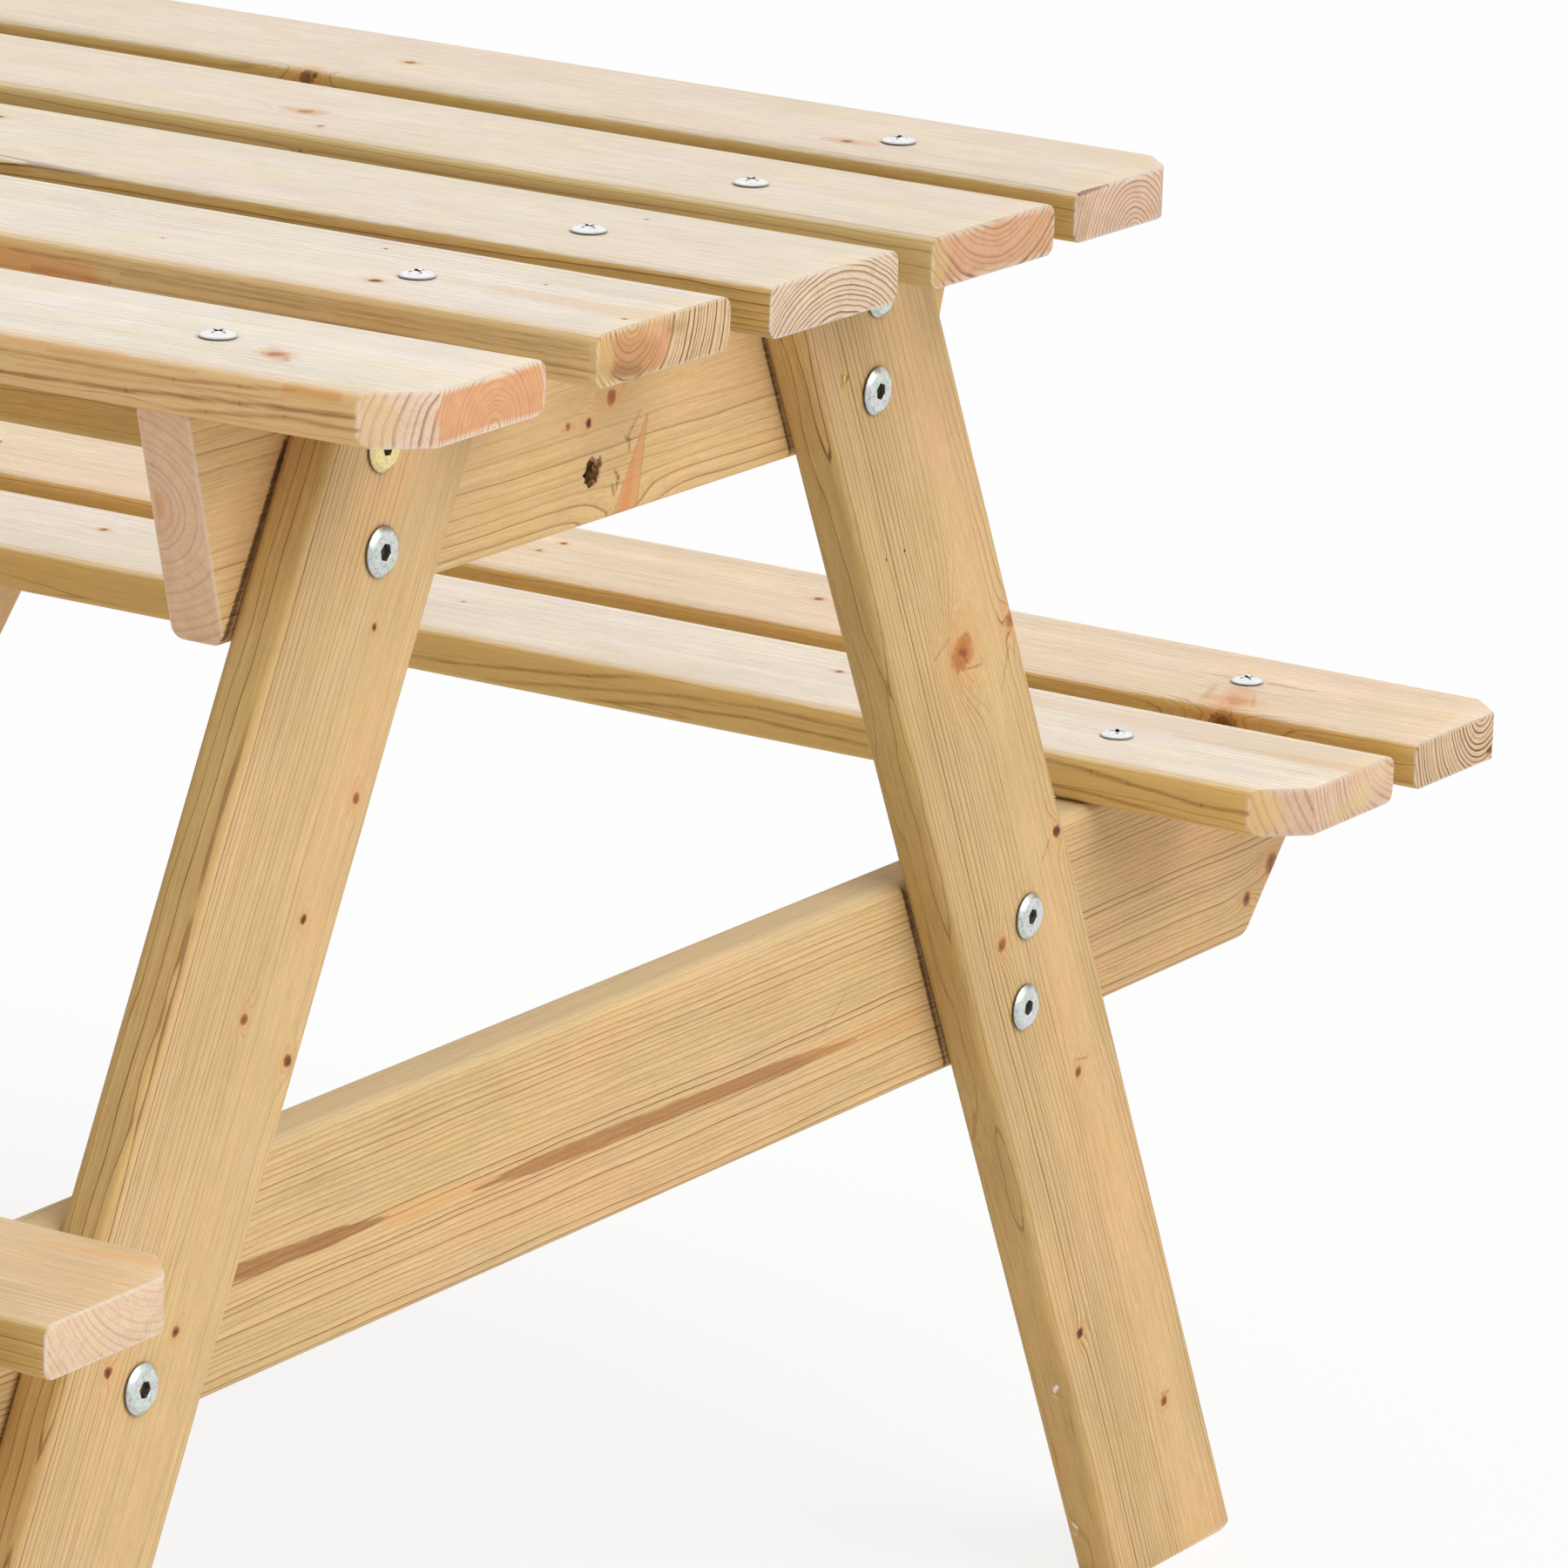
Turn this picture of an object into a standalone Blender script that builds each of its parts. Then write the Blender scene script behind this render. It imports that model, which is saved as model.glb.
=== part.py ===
"""Kids' picnic table: a slatted top and two benches on two A-shaped end frames of planed softwood boards.

X runs along the planks, +X being the right end. Y runs across, the rear bench being at +Y. Z is up, and the
feet stand on Z = 0. Sizes are in metres.
"""

import math

import bmesh
import bpy
from mathutils import Matrix, Vector

for old in list(bpy.data.objects):
    bpy.data.objects.remove(old, do_unlink=True)

# Overall
table_height = 0.513
seat_height = 0.289
tabletop_length = 0.710
bench_length = 0.707
gap = 0.0003  # air left between boards that touch

# Planks of the top and the benches
plank_width = 0.070
plank_thickness = 0.016
plank_edge_radius = 0.0035
corner_cut = 0.016  # the cut corners of the outer planks, along and across

# The five planks of the top, front to rear: they were screwed on by eye, so each sits a touch out of true
plank_gaps = (0.038, 0.0177, 0.0223, 0.0153)
plank_shifts = (0.0027, -0.0030, 0.0, 0.0003, -0.0014)
plank_turns = tuple(math.radians(a) for a in (1.04, 0.21, 0.0, -0.54, -0.43))
tabletop_offset = -0.0019

# Benches
front_bench_reach = 0.298  # from the middle of the table to a bench's inner edge
rear_bench_reach = 0.303
front_bench_gap = 0.0233
rear_bench_gap = 0.0183
bench_outer_turn = math.radians(0.46)

# End frames
frame_inset = 0.0597  # from the top's end to a leg's outer face
frame_board_width = 0.070
frame_edge_radius = 0.004
leg_thickness = 0.017
leg_top_spread = 0.1137  # from the middle to a leg's middle line, right under the top
leg_foot_spread = 0.3569  # the same, on the ground
toe_cut_length = 0.009
toe_cut_height = 0.003
support_thickness = 0.018
top_support_height = 0.072
top_support_inset = 0.0147  # from the top's outer edge to the support's end
top_support_end_slope = 0.020  # how much shorter it is at its lower edge, at each end
seat_support_height = 0.0705
seat_support_inset = 0.0093  # from a bench's outer edge to the support's end
seat_support_cut_length = 0.0393
seat_support_cut_height = 0.044
rail_thickness = 0.018  # the rail is as high as the top supports that it joins

# Leg bolts: a flat cap with a hexagon socket at each end, a shank and the sleeve of its nut
bolt_head_diameter = 0.0153
bolt_head_height = 0.0018
bolt_head_rim = 0.0007
bolt_shank_diameter = 0.007
bolt_sleeve_diameter = 0.009
bolt_sleeve_length = 0.014
bolt_socket_width = 0.004
bolt_socket_depth = 0.0014
bolt_spacing = 0.0306
# Each pair's place, across from the leg's middle line and up from the cross member's
bolt_offsets = {("front", "top"): (-0.0049, 0.0004), ("front", "seat"): (-0.0045, 0.0033),
                ("rear", "top"): (-0.0016, 0.0005), ("rear", "seat"): (-0.0041, 0.0011)}

# Wood screws with a low domed head
screw_head_diameter = 0.0110
screw_head_height = 0.0017
screw_head_rim = 0.0006
screw_shank_diameter = 0.0044
screw_length = 0.040
screw_point_length = 0.005
screw_socket_width = 0.0030
screw_socket_depth = 0.0013
# Each screw's place, outwards from the support's middle and across from the plank's middle line
tabletop_screw_offsets = ((0.0043, -0.0025), (0.0014, -0.0049), (0.0040, -0.0064), (0.0029, -0.0055),
                          (0.0027, -0.0058))
bench_screw_offsets = {("front", "inner"): (0.0, -0.0045), ("front", "outer"): (0.0, -0.0045),
                       ("rear", "inner"): (0.0011, -0.0042), ("rear", "outer"): (-0.0002, -0.0007)}
rail_screw_height = 0.0165  # above the rail's lower edge
rail_screw_offset = -0.0015  # from the rail's middle line
rail_screw_sink = 0.007

BOLT_SEGMENTS = 12
SCREW_SEGMENTS = 10
HOLE_SEGMENTS = 12
EDGE_SEGMENTS = 2

# Derived places
plank_underside = table_height - plank_thickness
seat_underside = seat_height - plank_thickness
half_length = tabletop_length / 2
leg_outer_x = half_length - frame_inset
leg_x = leg_outer_x - leg_thickness / 2
support_outer_x = leg_outer_x - leg_thickness - gap
support_x = support_outer_x - support_thickness / 2
support_inner_x = support_outer_x - support_thickness
top_support_z = plank_underside - gap - top_support_height / 2
seat_support_z = seat_underside - gap - seat_support_height / 2
leg_angle = math.atan2(leg_foot_spread - leg_top_spread, plank_underside)
leg_run = math.hypot(leg_foot_spread - leg_top_spread, plank_underside)
top_width = (len(plank_gaps) + 1) * plank_width + sum(plank_gaps)
top_support_length = top_width - 2 * top_support_inset
front_bench_width = front_bench_reach + front_bench_gap + 2 * plank_width
rear_bench_width = rear_bench_reach + rear_bench_gap + 2 * plank_width
seat_support_length = 2 * (min(front_bench_width, rear_bench_width) - seat_support_inset)


def leg_spread_at(z):
    share = z / plank_underside
    return leg_foot_spread + (leg_top_spread - leg_foot_spread) * share


collection = bpy.data.collections.new("kids_picnic_table")
bpy.context.scene.collection.children.link(collection)
cutters = bpy.data.collections.new("cutters")
cutters.hide_render = True
bpy.context.scene.collection.children.link(cutters)
table = bpy.data.objects.new("kids_picnic_table_root", None)
collection.objects.link(table)


def make_material(name, color, roughness, metallic=0.0):
    material = bpy.data.materials.new(name)
    material.use_nodes = True
    shader = material.node_tree.nodes["Principled BSDF"]
    shader.inputs["Base Color"].default_value = (*color, 1.0)
    shader.inputs["Roughness"].default_value = roughness
    shader.inputs["Metallic"].default_value = metallic
    return material


def mesh_object(name, bm, target=collection):
    mesh = bpy.data.meshes.new(name)
    bmesh.ops.recalc_face_normals(bm, faces=bm.faces[:])
    bm.to_mesh(mesh)
    bm.free()
    obj = bpy.data.objects.new(name, mesh)
    target.objects.link(obj)
    return obj


def slice_board(bm, point, normal):
    """Cuts off what lies on the normal's side of a plane and closes the cut."""
    cut = bmesh.ops.bisect_plane(
        bm, geom=bm.verts[:] + bm.edges[:] + bm.faces[:], dist=gap / 100,
        plane_co=point, plane_no=normal, clear_outer=True)
    edges = [e for e in cut["geom_cut"] if isinstance(e, bmesh.types.BMEdge)]
    bmesh.ops.contextual_create(bm, geom=edges)


def board(length, width, thickness, radius):
    """A board along X, its width along Y, with its four long edges rounded."""
    bm = bmesh.new()
    bmesh.ops.create_cube(bm, size=1.0)
    bmesh.ops.scale(bm, vec=(length, width, thickness), verts=bm.verts[:])
    long_edges = [e for e in bm.edges
                  if abs((e.verts[0].co - e.verts[1].co).normalized().x) > math.cos(math.radians(5))]
    bmesh.ops.bevel(bm, geom=long_edges, offset=radius, offset_type="OFFSET",
                    segments=EDGE_SEGMENTS, profile=0.5, affect="EDGES")
    return bm


def finish(obj, material):
    obj.data.materials.clear()
    obj.data.materials.append(material)
    obj.parent = table
    return obj


def plank(name, length, x, y, z, turn, cut_side):
    """A plank lying flat. cut_side is the side of Y, +1 or -1, whose corners are cut off, or 0 for none."""
    bm = board(length, plank_width, plank_thickness, plank_edge_radius)
    if cut_side:
        for end in (-1, 1):
            point = Vector((end * (length / 2 - corner_cut), cut_side * plank_width / 2, 0))
            slice_board(bm, point, Vector((end, cut_side, 0)).normalized())
    obj = mesh_object(name, bm)
    obj.location = (x, y, z + plank_thickness / 2)
    obj.rotation_euler.z = turn
    return finish(obj, pale_wood)


def drill(obj, name, holes):
    """Drills round holes, each (point, direction, length, diameter), measured in the table's frame."""
    bm = bmesh.new()
    for point, direction, length, diameter in holes:
        turn = Vector(direction).to_track_quat("Z", "Y").to_matrix().to_4x4()
        bmesh.ops.create_cone(
            bm, cap_ends=True, segments=HOLE_SEGMENTS, radius1=diameter / 2, radius2=diameter / 2,
            depth=length, matrix=Matrix.Translation(point) @ turn)
    cutter = mesh_object(name, bm, cutters)
    cutter.hide_render = True
    cutter.display_type = "WIRE"
    cut = obj.modifiers.new("holes", "BOOLEAN")
    cut.operation = "DIFFERENCE"
    cut.solver = "EXACT"
    cut.object = cutter


def turned(name, profile, segments, socket_ends, socket_width, socket_depth):
    """A turned piece about Z with a hexagon socket sunk in each named end, as a finished mesh."""
    bm = bmesh.new()
    verts = [bm.verts.new((r, 0, z)) for r, z in profile]
    for a, b in zip(verts, verts[1:]):
        bm.edges.new((a, b))
    mesh = bpy.data.meshes.new(name)
    bm.to_mesh(mesh)
    bm.free()
    obj = bpy.data.objects.new(name, mesh)
    collection.objects.link(obj)
    spin = obj.modifiers.new("turn", "SCREW")
    spin.axis = "Z"
    spin.steps = spin.render_steps = segments
    spin.use_merge_vertices = True
    spin.merge_threshold = gap / 30
    spin.use_normal_calculate = True
    hexes = bmesh.new()
    hex_radius = socket_width / math.sqrt(3)
    for z in socket_ends:
        bmesh.ops.create_cone(
            hexes, cap_ends=True, segments=6, radius1=hex_radius, radius2=hex_radius,
            depth=2 * socket_depth, matrix=Matrix.Translation((0, 0, z)))
    cutter = mesh_object(name + "_socket", hexes, cutters)
    cut = obj.modifiers.new("socket", "BOOLEAN")
    cut.operation = "DIFFERENCE"
    cut.solver = "EXACT"
    cut.object = cutter
    solid = bpy.data.meshes.new_from_object(obj.evaluated_get(bpy.context.evaluated_depsgraph_get()))
    solid.name = name
    solid.shade_smooth()
    solid.set_sharp_from_angle(angle=math.radians(30))
    bpy.data.objects.remove(obj, do_unlink=True)
    bpy.data.objects.remove(cutter, do_unlink=True)
    return solid


def place_copy(name, mesh, point, direction, material):
    """A copy of a turned piece, its own +Z along direction."""
    obj = bpy.data.objects.new(name, mesh)
    collection.objects.link(obj)
    obj.location = point
    obj.rotation_euler = Vector(direction).to_track_quat("Z", "Y").to_euler()
    obj.parent = table
    if not mesh.materials:
        mesh.materials.append(material)
    return obj


pale_wood = make_material("pale_wood", (0.82, 0.72, 0.56), 0.65)
straw_wood = make_material("straw_wood", (0.71, 0.54, 0.30), 0.65)
olive_wood = make_material("olive_wood", (0.66, 0.49, 0.26), 0.65)
zinc = make_material("zinc_steel", (0.72, 0.72, 0.70), 0.35, 1.0)

# Tabletop planks
planks = []
plank_y = tabletop_offset - top_width / 2 + plank_width / 2
for i, (shift, turn) in enumerate(zip(plank_shifts, plank_turns)):
    cut_side = -1 if i == 0 else 1 if i == len(plank_gaps) else 0
    planks.append(plank(f"tabletop_plank_{i + 1}", tabletop_length, shift, plank_y, plank_underside, turn,
                        cut_side))
    if i < len(plank_gaps):
        plank_y += plank_width + plank_gaps[i]

# Bench planks: the inner one of each bench has its inner corners cut off, the outer one its outer corners
benches = {}
for place, side, reach, bench_gap in (("front", -1, front_bench_reach, front_bench_gap),
                                      ("rear", 1, rear_bench_reach, rear_bench_gap)):
    inner_y = side * (reach + plank_width / 2)
    outer_y = inner_y + side * (plank_width + bench_gap)
    benches[place, "inner"] = plank(f"{place}_bench_inner_plank", bench_length, 0, inner_y, seat_underside,
                                    0, -side)
    benches[place, "outer"] = plank(f"{place}_bench_outer_plank", bench_length, 0, outer_y, seat_underside,
                                    -side * bench_outer_turn, side)


def leg(name, x, side):
    """A sloping leg, cut flat under the top and on the ground, with its toe's corner taken off."""
    bm = board(leg_run + 2 * frame_board_width, frame_board_width, leg_thickness, frame_edge_radius)
    # Lay the board in the frame's plane: its length down the slope, its thickness along X
    down = Vector((0, side * math.sin(leg_angle), -math.cos(leg_angle)))
    across = Vector((0, side * math.cos(leg_angle), math.sin(leg_angle)))
    turn = Matrix((down, across, down.cross(across))).transposed()
    origin = Vector((x, side * leg_spread_at(plank_underside / 2), plank_underside / 2))
    back = turn.transposed()
    toe_y = leg_foot_spread + frame_board_width / 2 / math.cos(leg_angle)
    for y, z, normal in ((0, plank_underside - gap, (0, 0, 1)), (0, 0, (0, 0, -1)),
                         (side * (toe_y - toe_cut_length), 0, (0, side * toe_cut_height, -toe_cut_length))):
        slice_board(bm, back @ (Vector((x, y, z)) - origin), back @ Vector(normal).normalized())
    obj = mesh_object(name, bm)
    obj.location = origin
    obj.rotation_euler = turn.to_euler()
    return finish(obj, straw_wood)


def cross_member(name, x, z, length, height, cuts):
    """A board on edge across the table. cuts is the length and height cut off each lower corner."""
    bm = board(length, height, support_thickness, frame_edge_radius)
    cut_length, cut_height = cuts
    for end in (-1, 1):
        slice_board(bm, Vector((end * length / 2, -height / 2 + cut_height, 0)),
                    Vector((end * cut_height, -cut_length, 0)).normalized())
    obj = mesh_object(name, bm)
    obj.location = (x, 0, z)
    obj.rotation_euler = (math.pi / 2, 0, math.pi / 2)
    return finish(obj, olive_wood)


legs, top_supports, seat_supports = {}, {}, {}
ends = (("right", 1), ("left", -1))
for end, way in ends:
    for place, side in (("front", -1), ("rear", 1)):
        legs[end, place] = leg(f"{end}_{place}_leg", way * leg_x, side)
    top_supports[end] = cross_member(f"{end}_top_support", way * support_x, top_support_z,
                                     top_support_length, top_support_height,
                                     (top_support_end_slope, top_support_height))
    seat_supports[end] = cross_member(f"{end}_seat_support", way * support_x, seat_support_z,
                                      seat_support_length, seat_support_height,
                                      (seat_support_cut_length, seat_support_cut_height))

# The rail runs under the middle plank from one top support to the other
rail_length = 2 * (support_inner_x - gap)
rail = mesh_object("centre_rail", board(rail_length, top_support_height, rail_thickness, frame_edge_radius))
rail.location = (0, 0, top_support_z)
rail.rotation_euler.x = math.pi / 2
finish(rail, olive_wood)

# Bolt and screw meshes
bolt_grip = leg_thickness + gap + support_thickness + 2 * gap
half_grip = bolt_grip / 2
bolt_end = half_grip + bolt_head_height
bolt_mesh = turned("leg_bolt", [
    (0, bolt_end),
    (bolt_head_diameter / 2 - bolt_head_rim, bolt_end),
    (bolt_head_diameter / 2, bolt_end - bolt_head_rim),
    (bolt_head_diameter / 2, half_grip),
    (bolt_shank_diameter / 2, half_grip),
    (bolt_shank_diameter / 2, bolt_sleeve_length - half_grip),
    (bolt_sleeve_diameter / 2, bolt_sleeve_length - half_grip),
    (bolt_sleeve_diameter / 2, -half_grip),
    (bolt_head_diameter / 2, -half_grip),
    (bolt_head_diameter / 2, -bolt_end),
    (0, -bolt_end)], BOLT_SEGMENTS, (bolt_end, -bolt_end), bolt_socket_width, bolt_socket_depth)

screw_mesh = turned("wood_screw", [
    (0, screw_head_height),
    (screw_head_diameter / 4, screw_head_height),
    (screw_head_diameter * 3 / 8, screw_head_height - screw_head_rim),
    (screw_head_diameter / 2, screw_head_rim),
    (screw_head_diameter / 2, 0),
    (screw_shank_diameter / 2, 0),
    (screw_shank_diameter / 2, screw_point_length - screw_length),
    (0, -screw_length)], SCREW_SEGMENTS, (screw_head_height,), screw_socket_width, screw_socket_depth)

# Bolts, two at each crossing of a leg and a cross member
leg_holes = {key: [] for key in legs}
top_holes = {end: [] for end in top_supports}
seat_holes = {end: [] for end in seat_supports}
hole_reach = 2 * (bolt_grip + bolt_head_height)
for end, way in ends:
    for place, side in (("front", -1), ("rear", 1)):
        for level, z, member_holes in (("top", top_support_z, top_holes[end]),
                                       ("seat", seat_support_z, seat_holes[end])):
            across, up = bolt_offsets[place, level]
            for row, lift in (("upper", 1), ("lower", -1)):
                middle = (way * (leg_outer_x + gap - half_grip), side * leg_spread_at(z) + across,
                          z + up + lift * bolt_spacing / 2)
                place_copy(f"bolt_{end}_{place}_{level}_{row}", bolt_mesh, middle, (way, 0, 0), zinc)
                leg_holes[end, place].append((middle, (1, 0, 0), hole_reach, bolt_shank_diameter + 2 * gap))
                member_holes.append((middle, (1, 0, 0), hole_reach, bolt_sleeve_diameter + 2 * gap))

# Screws through the planks into the cross members under them
pilot = screw_shank_diameter + 2 * gap


def screw_down(name, obj, way, offsets, top_z, member_holes):
    outwards, across = offsets
    x = way * (support_x + outwards)
    local = Vector(((x - obj.location.x) / math.cos(obj.rotation_euler.z), across, 0))
    local.rotate(obj.rotation_euler)
    point = Vector((x, obj.location.y + local.y, top_z + gap))
    place_copy(name, screw_mesh, point, (0, 0, 1), zinc)
    middle = (point.x, point.y, top_z - screw_length / 2)
    hole = (middle, (0, 0, 1), screw_length + 2 * screw_point_length, pilot)
    member_holes.append(hole)
    return hole


for i, obj in enumerate(planks):
    drill(obj, obj.name + "_holes", [
        screw_down(f"tabletop_screw_{i + 1}_{end}", obj, way, tabletop_screw_offsets[i], table_height,
                   top_holes[end]) for end, way in ends])
for (place, row), obj in benches.items():
    drill(obj, obj.name + "_holes", [
        screw_down(f"{place}_bench_{row}_screw_{end}", obj, way, bench_screw_offsets[place, row], seat_height,
                   seat_holes[end]) for end, way in ends])

# One sunk screw through each top support into the rail's end
rail_screw_z = top_support_z - top_support_height / 2 + rail_screw_height
rail_holes = []
seat_x = support_outer_x - rail_screw_sink
for end, way in ends:
    place_copy(f"rail_screw_{end}", screw_mesh, (way * (seat_x + gap), rail_screw_offset, rail_screw_z),
               (way, 0, 0), zinc)
    middle = (way * (seat_x - screw_length / 2), rail_screw_offset, rail_screw_z)
    rail_holes.append((middle, (1, 0, 0), screw_length + 2 * screw_point_length, pilot))
    sink = (way * support_outer_x, rail_screw_offset, rail_screw_z)
    top_holes[end].append((sink, (1, 0, 0), 2 * rail_screw_sink, screw_head_diameter + 2 * gap))
    web = (way * (support_inner_x + seat_x) / 2, rail_screw_offset, rail_screw_z)
    top_holes[end].append((web, (1, 0, 0), support_thickness, pilot))

for key, obj in legs.items():
    drill(obj, obj.name + "_holes", leg_holes[key])
for end in top_supports:
    drill(top_supports[end], f"{end}_top_support_holes", top_holes[end])
    drill(seat_supports[end], f"{end}_seat_support_holes", seat_holes[end])
drill(rail, "centre_rail_holes", rail_holes)
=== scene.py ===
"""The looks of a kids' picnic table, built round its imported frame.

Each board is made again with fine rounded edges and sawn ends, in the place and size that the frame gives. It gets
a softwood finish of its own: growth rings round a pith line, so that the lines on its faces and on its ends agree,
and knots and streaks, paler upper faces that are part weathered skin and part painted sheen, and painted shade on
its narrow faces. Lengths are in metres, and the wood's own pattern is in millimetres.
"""

import math
import random
from dataclasses import dataclass

import bmesh
import bpy
import numpy as np
from mathutils import Matrix, Vector


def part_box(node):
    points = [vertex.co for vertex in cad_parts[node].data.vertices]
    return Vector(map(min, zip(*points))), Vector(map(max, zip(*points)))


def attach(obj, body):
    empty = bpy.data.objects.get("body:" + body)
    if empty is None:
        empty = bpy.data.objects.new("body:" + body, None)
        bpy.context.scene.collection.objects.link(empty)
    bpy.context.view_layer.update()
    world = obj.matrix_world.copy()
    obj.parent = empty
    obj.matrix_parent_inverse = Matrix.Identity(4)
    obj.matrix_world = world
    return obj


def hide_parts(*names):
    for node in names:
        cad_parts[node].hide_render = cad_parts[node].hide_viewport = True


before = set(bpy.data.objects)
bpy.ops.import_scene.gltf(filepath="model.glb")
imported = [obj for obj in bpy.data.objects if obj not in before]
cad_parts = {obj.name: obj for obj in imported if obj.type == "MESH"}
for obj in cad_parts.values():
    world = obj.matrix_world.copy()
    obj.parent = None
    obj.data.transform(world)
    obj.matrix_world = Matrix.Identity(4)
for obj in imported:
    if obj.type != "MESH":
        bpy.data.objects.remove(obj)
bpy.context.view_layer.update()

bl_info = {
    "name": "Kids Picnic Table",
    "version": (1, 0, 0),
    "blender": (4, 5, 0),
    "location": "View3D > Sidebar > Picnic Table",
    "description": "Dresses the frame of a kids' picnic table with softwood boards, bolts and screws",
    "category": "Object",
}

MM = 0.001


def srgb(code):
    """A colour written as six hex digits, in Blender's linear values."""
    parts = [int(code[i:i + 2], 16) / 255 for i in (0, 2, 4)]
    return tuple(c / 12.92 if c <= 0.04045 else ((c + 0.055) / 1.055) ** 2.4 for c in parts)


# Settings


class TimberSettings(bpy.types.PropertyGroup):
    plank_edge: bpy.props.FloatProperty(
        name="Plank Edge", description="Radius of a plank's long edges", default=0.0042, unit="LENGTH")
    frame_edge: bpy.props.FloatProperty(
        name="Frame Edge", description="Radius of a frame board's long edges", default=0.004, unit="LENGTH")
    sawn_edge: bpy.props.FloatProperty(
        name="Sawn Edge", description="Wear on the edges of a sawn end", default=0.0005, unit="LENGTH")
    worn_corner: bpy.props.FloatProperty(
        name="Worn Corner", description="Radius of the smoother corners of two of the planks", default=0.012,
        unit="LENGTH")
    early: bpy.props.FloatVectorProperty(
        name="Spring Wood", description="Colour of the wide pale part of a growth ring",
        subtype="COLOR", default=srgb("d9b884"))
    olive: bpy.props.FloatVectorProperty(
        name="Treated Wood", description="Colour of spring wood that took up the preservative",
        subtype="COLOR", default=srgb("c4a670"))
    # Its multiply darkens the narrow faces: painted shade
    side: bpy.props.FloatVectorProperty(
        name="Narrow Faces", description="What the narrow faces' colour is multiplied by",
        subtype="COLOR", default=srgb("f0e8c6"))
    late: bpy.props.FloatVectorProperty(
        name="Summer Wood", description="Colour of the dark line of a growth ring",
        subtype="COLOR", default=srgb("7e5226"))
    # Colour of the paler upper faces, part bleaching and part painted sheen; also the pale colour of torn fibres
    # at the sawn ends
    skin: bpy.props.FloatVectorProperty(
        name="Upper Skin", description="Colour of the bleached upper faces",
        subtype="COLOR", default=srgb("ede2d2"))
    heart: bpy.props.FloatVectorProperty(
        name="Heartwood", description="Colour round the pith",
        subtype="COLOR", default=srgb("dfa676"))
    end_early: bpy.props.FloatVectorProperty(
        name="End Grain", description="Colour of spring wood on a sawn end",
        subtype="COLOR", default=srgb("e9cdae"))
    end_late: bpy.props.FloatVectorProperty(
        name="End Grain Lines", description="Colour of summer wood on a sawn end",
        subtype="COLOR", default=srgb("8f6443"))
    pale_knot: bpy.props.FloatVectorProperty(
        name="Pale Knots", description="Colour of a sound knot",
        subtype="COLOR", default=srgb("b26a2a"))
    knot: bpy.props.FloatVectorProperty(
        name="Dark Knots", description="Colour of a dead knot",
        subtype="COLOR", default=srgb("7a380e"))
    knot_ring: bpy.props.FloatVectorProperty(
        name="Knot Surround", description="Colour of the wood close round a knot",
        subtype="COLOR", default=srgb("d6975a"))
    bark: bpy.props.FloatVectorProperty(
        name="Knot Bark", description="Colour of the bark round a knot, and of its middle",
        subtype="COLOR", default=srgb("2f150a"))


class FastenerSettings(bpy.types.PropertyGroup):
    bolt_cap: bpy.props.FloatProperty(
        name="Bolt Cap", description="Diameter of a bolt's cap", default=0.0153, unit="LENGTH")
    screw_head: bpy.props.FloatProperty(
        name="Screw Head", description="Diameter of a screw's head", default=0.0110, unit="LENGTH")
    zinc: bpy.props.FloatVectorProperty(
        name="Zinc", description="Colour of the plated steel", subtype="COLOR", default=srgb("dde4dd"))
    yellow: bpy.props.FloatVectorProperty(
        name="Yellow Zinc", description="Colour of the yellow plated steel", subtype="COLOR",
        default=srgb("f2e2a0"))


class StageSettings(bpy.types.PropertyGroup):
    floor_color: bpy.props.FloatVectorProperty(
        name="Floor", description="Colour of the floor", subtype="COLOR", default=(0.93, 0.93, 0.93))
    floor_size: bpy.props.FloatProperty(
        name="Floor Size", description="Width of the floor", default=60.0, unit="LENGTH")
    sky: bpy.props.FloatProperty(
        name="Sky", description="Strength of the even light from all sides", default=0.62)
    key: bpy.props.FloatProperty(
        name="Key", description="Strength of the soft key light", default=1.75)
    camera_place: bpy.props.FloatVectorProperty(
        name="Camera", description="Place of the camera", subtype="XYZ", unit="LENGTH",
        default=(1.7107, -2.1993, 1.0681))
    camera_azimuth: bpy.props.FloatProperty(
        name="Azimuth", description="Turn of the view about the upright, 0 looking along +Y",
        subtype="ANGLE", default=math.radians(31.784))
    camera_elevation: bpy.props.FloatProperty(
        name="Elevation", description="Slope of the view downwards", subtype="ANGLE",
        default=math.radians(15.354))
    camera_roll: bpy.props.FloatProperty(
        name="Roll", description="Turn of the view about its own axis", subtype="ANGLE",
        default=math.radians(2.075))
    camera_lens: bpy.props.FloatProperty(
        name="Lens", description="Focal length in millimetres", default=209.0)


# Scene and node recipes


def new_object(name, data):
    """An object in the scene."""
    obj = bpy.data.objects.new(name, data)
    bpy.context.scene.collection.objects.link(obj)
    return obj


def new_material(name):
    """A material, and its node tree."""
    material = bpy.data.materials.new(name)
    material.use_nodes = True
    return material, material.node_tree


def fill(mesh, bm):
    """Puts what was built into a mesh, and lets go of it."""
    bm.to_mesh(mesh)
    bm.free()
    return mesh


def feed(slot, value):
    """Links a flow to a socket, or sets the socket's own value."""
    if isinstance(value, Flow):
        value.tree.links.new(value.socket, slot)
    elif slot.type == "RGBA" and len(value) == 3:
        slot.default_value = (*value, 1.0)
    else:
        slot.default_value = value


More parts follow.
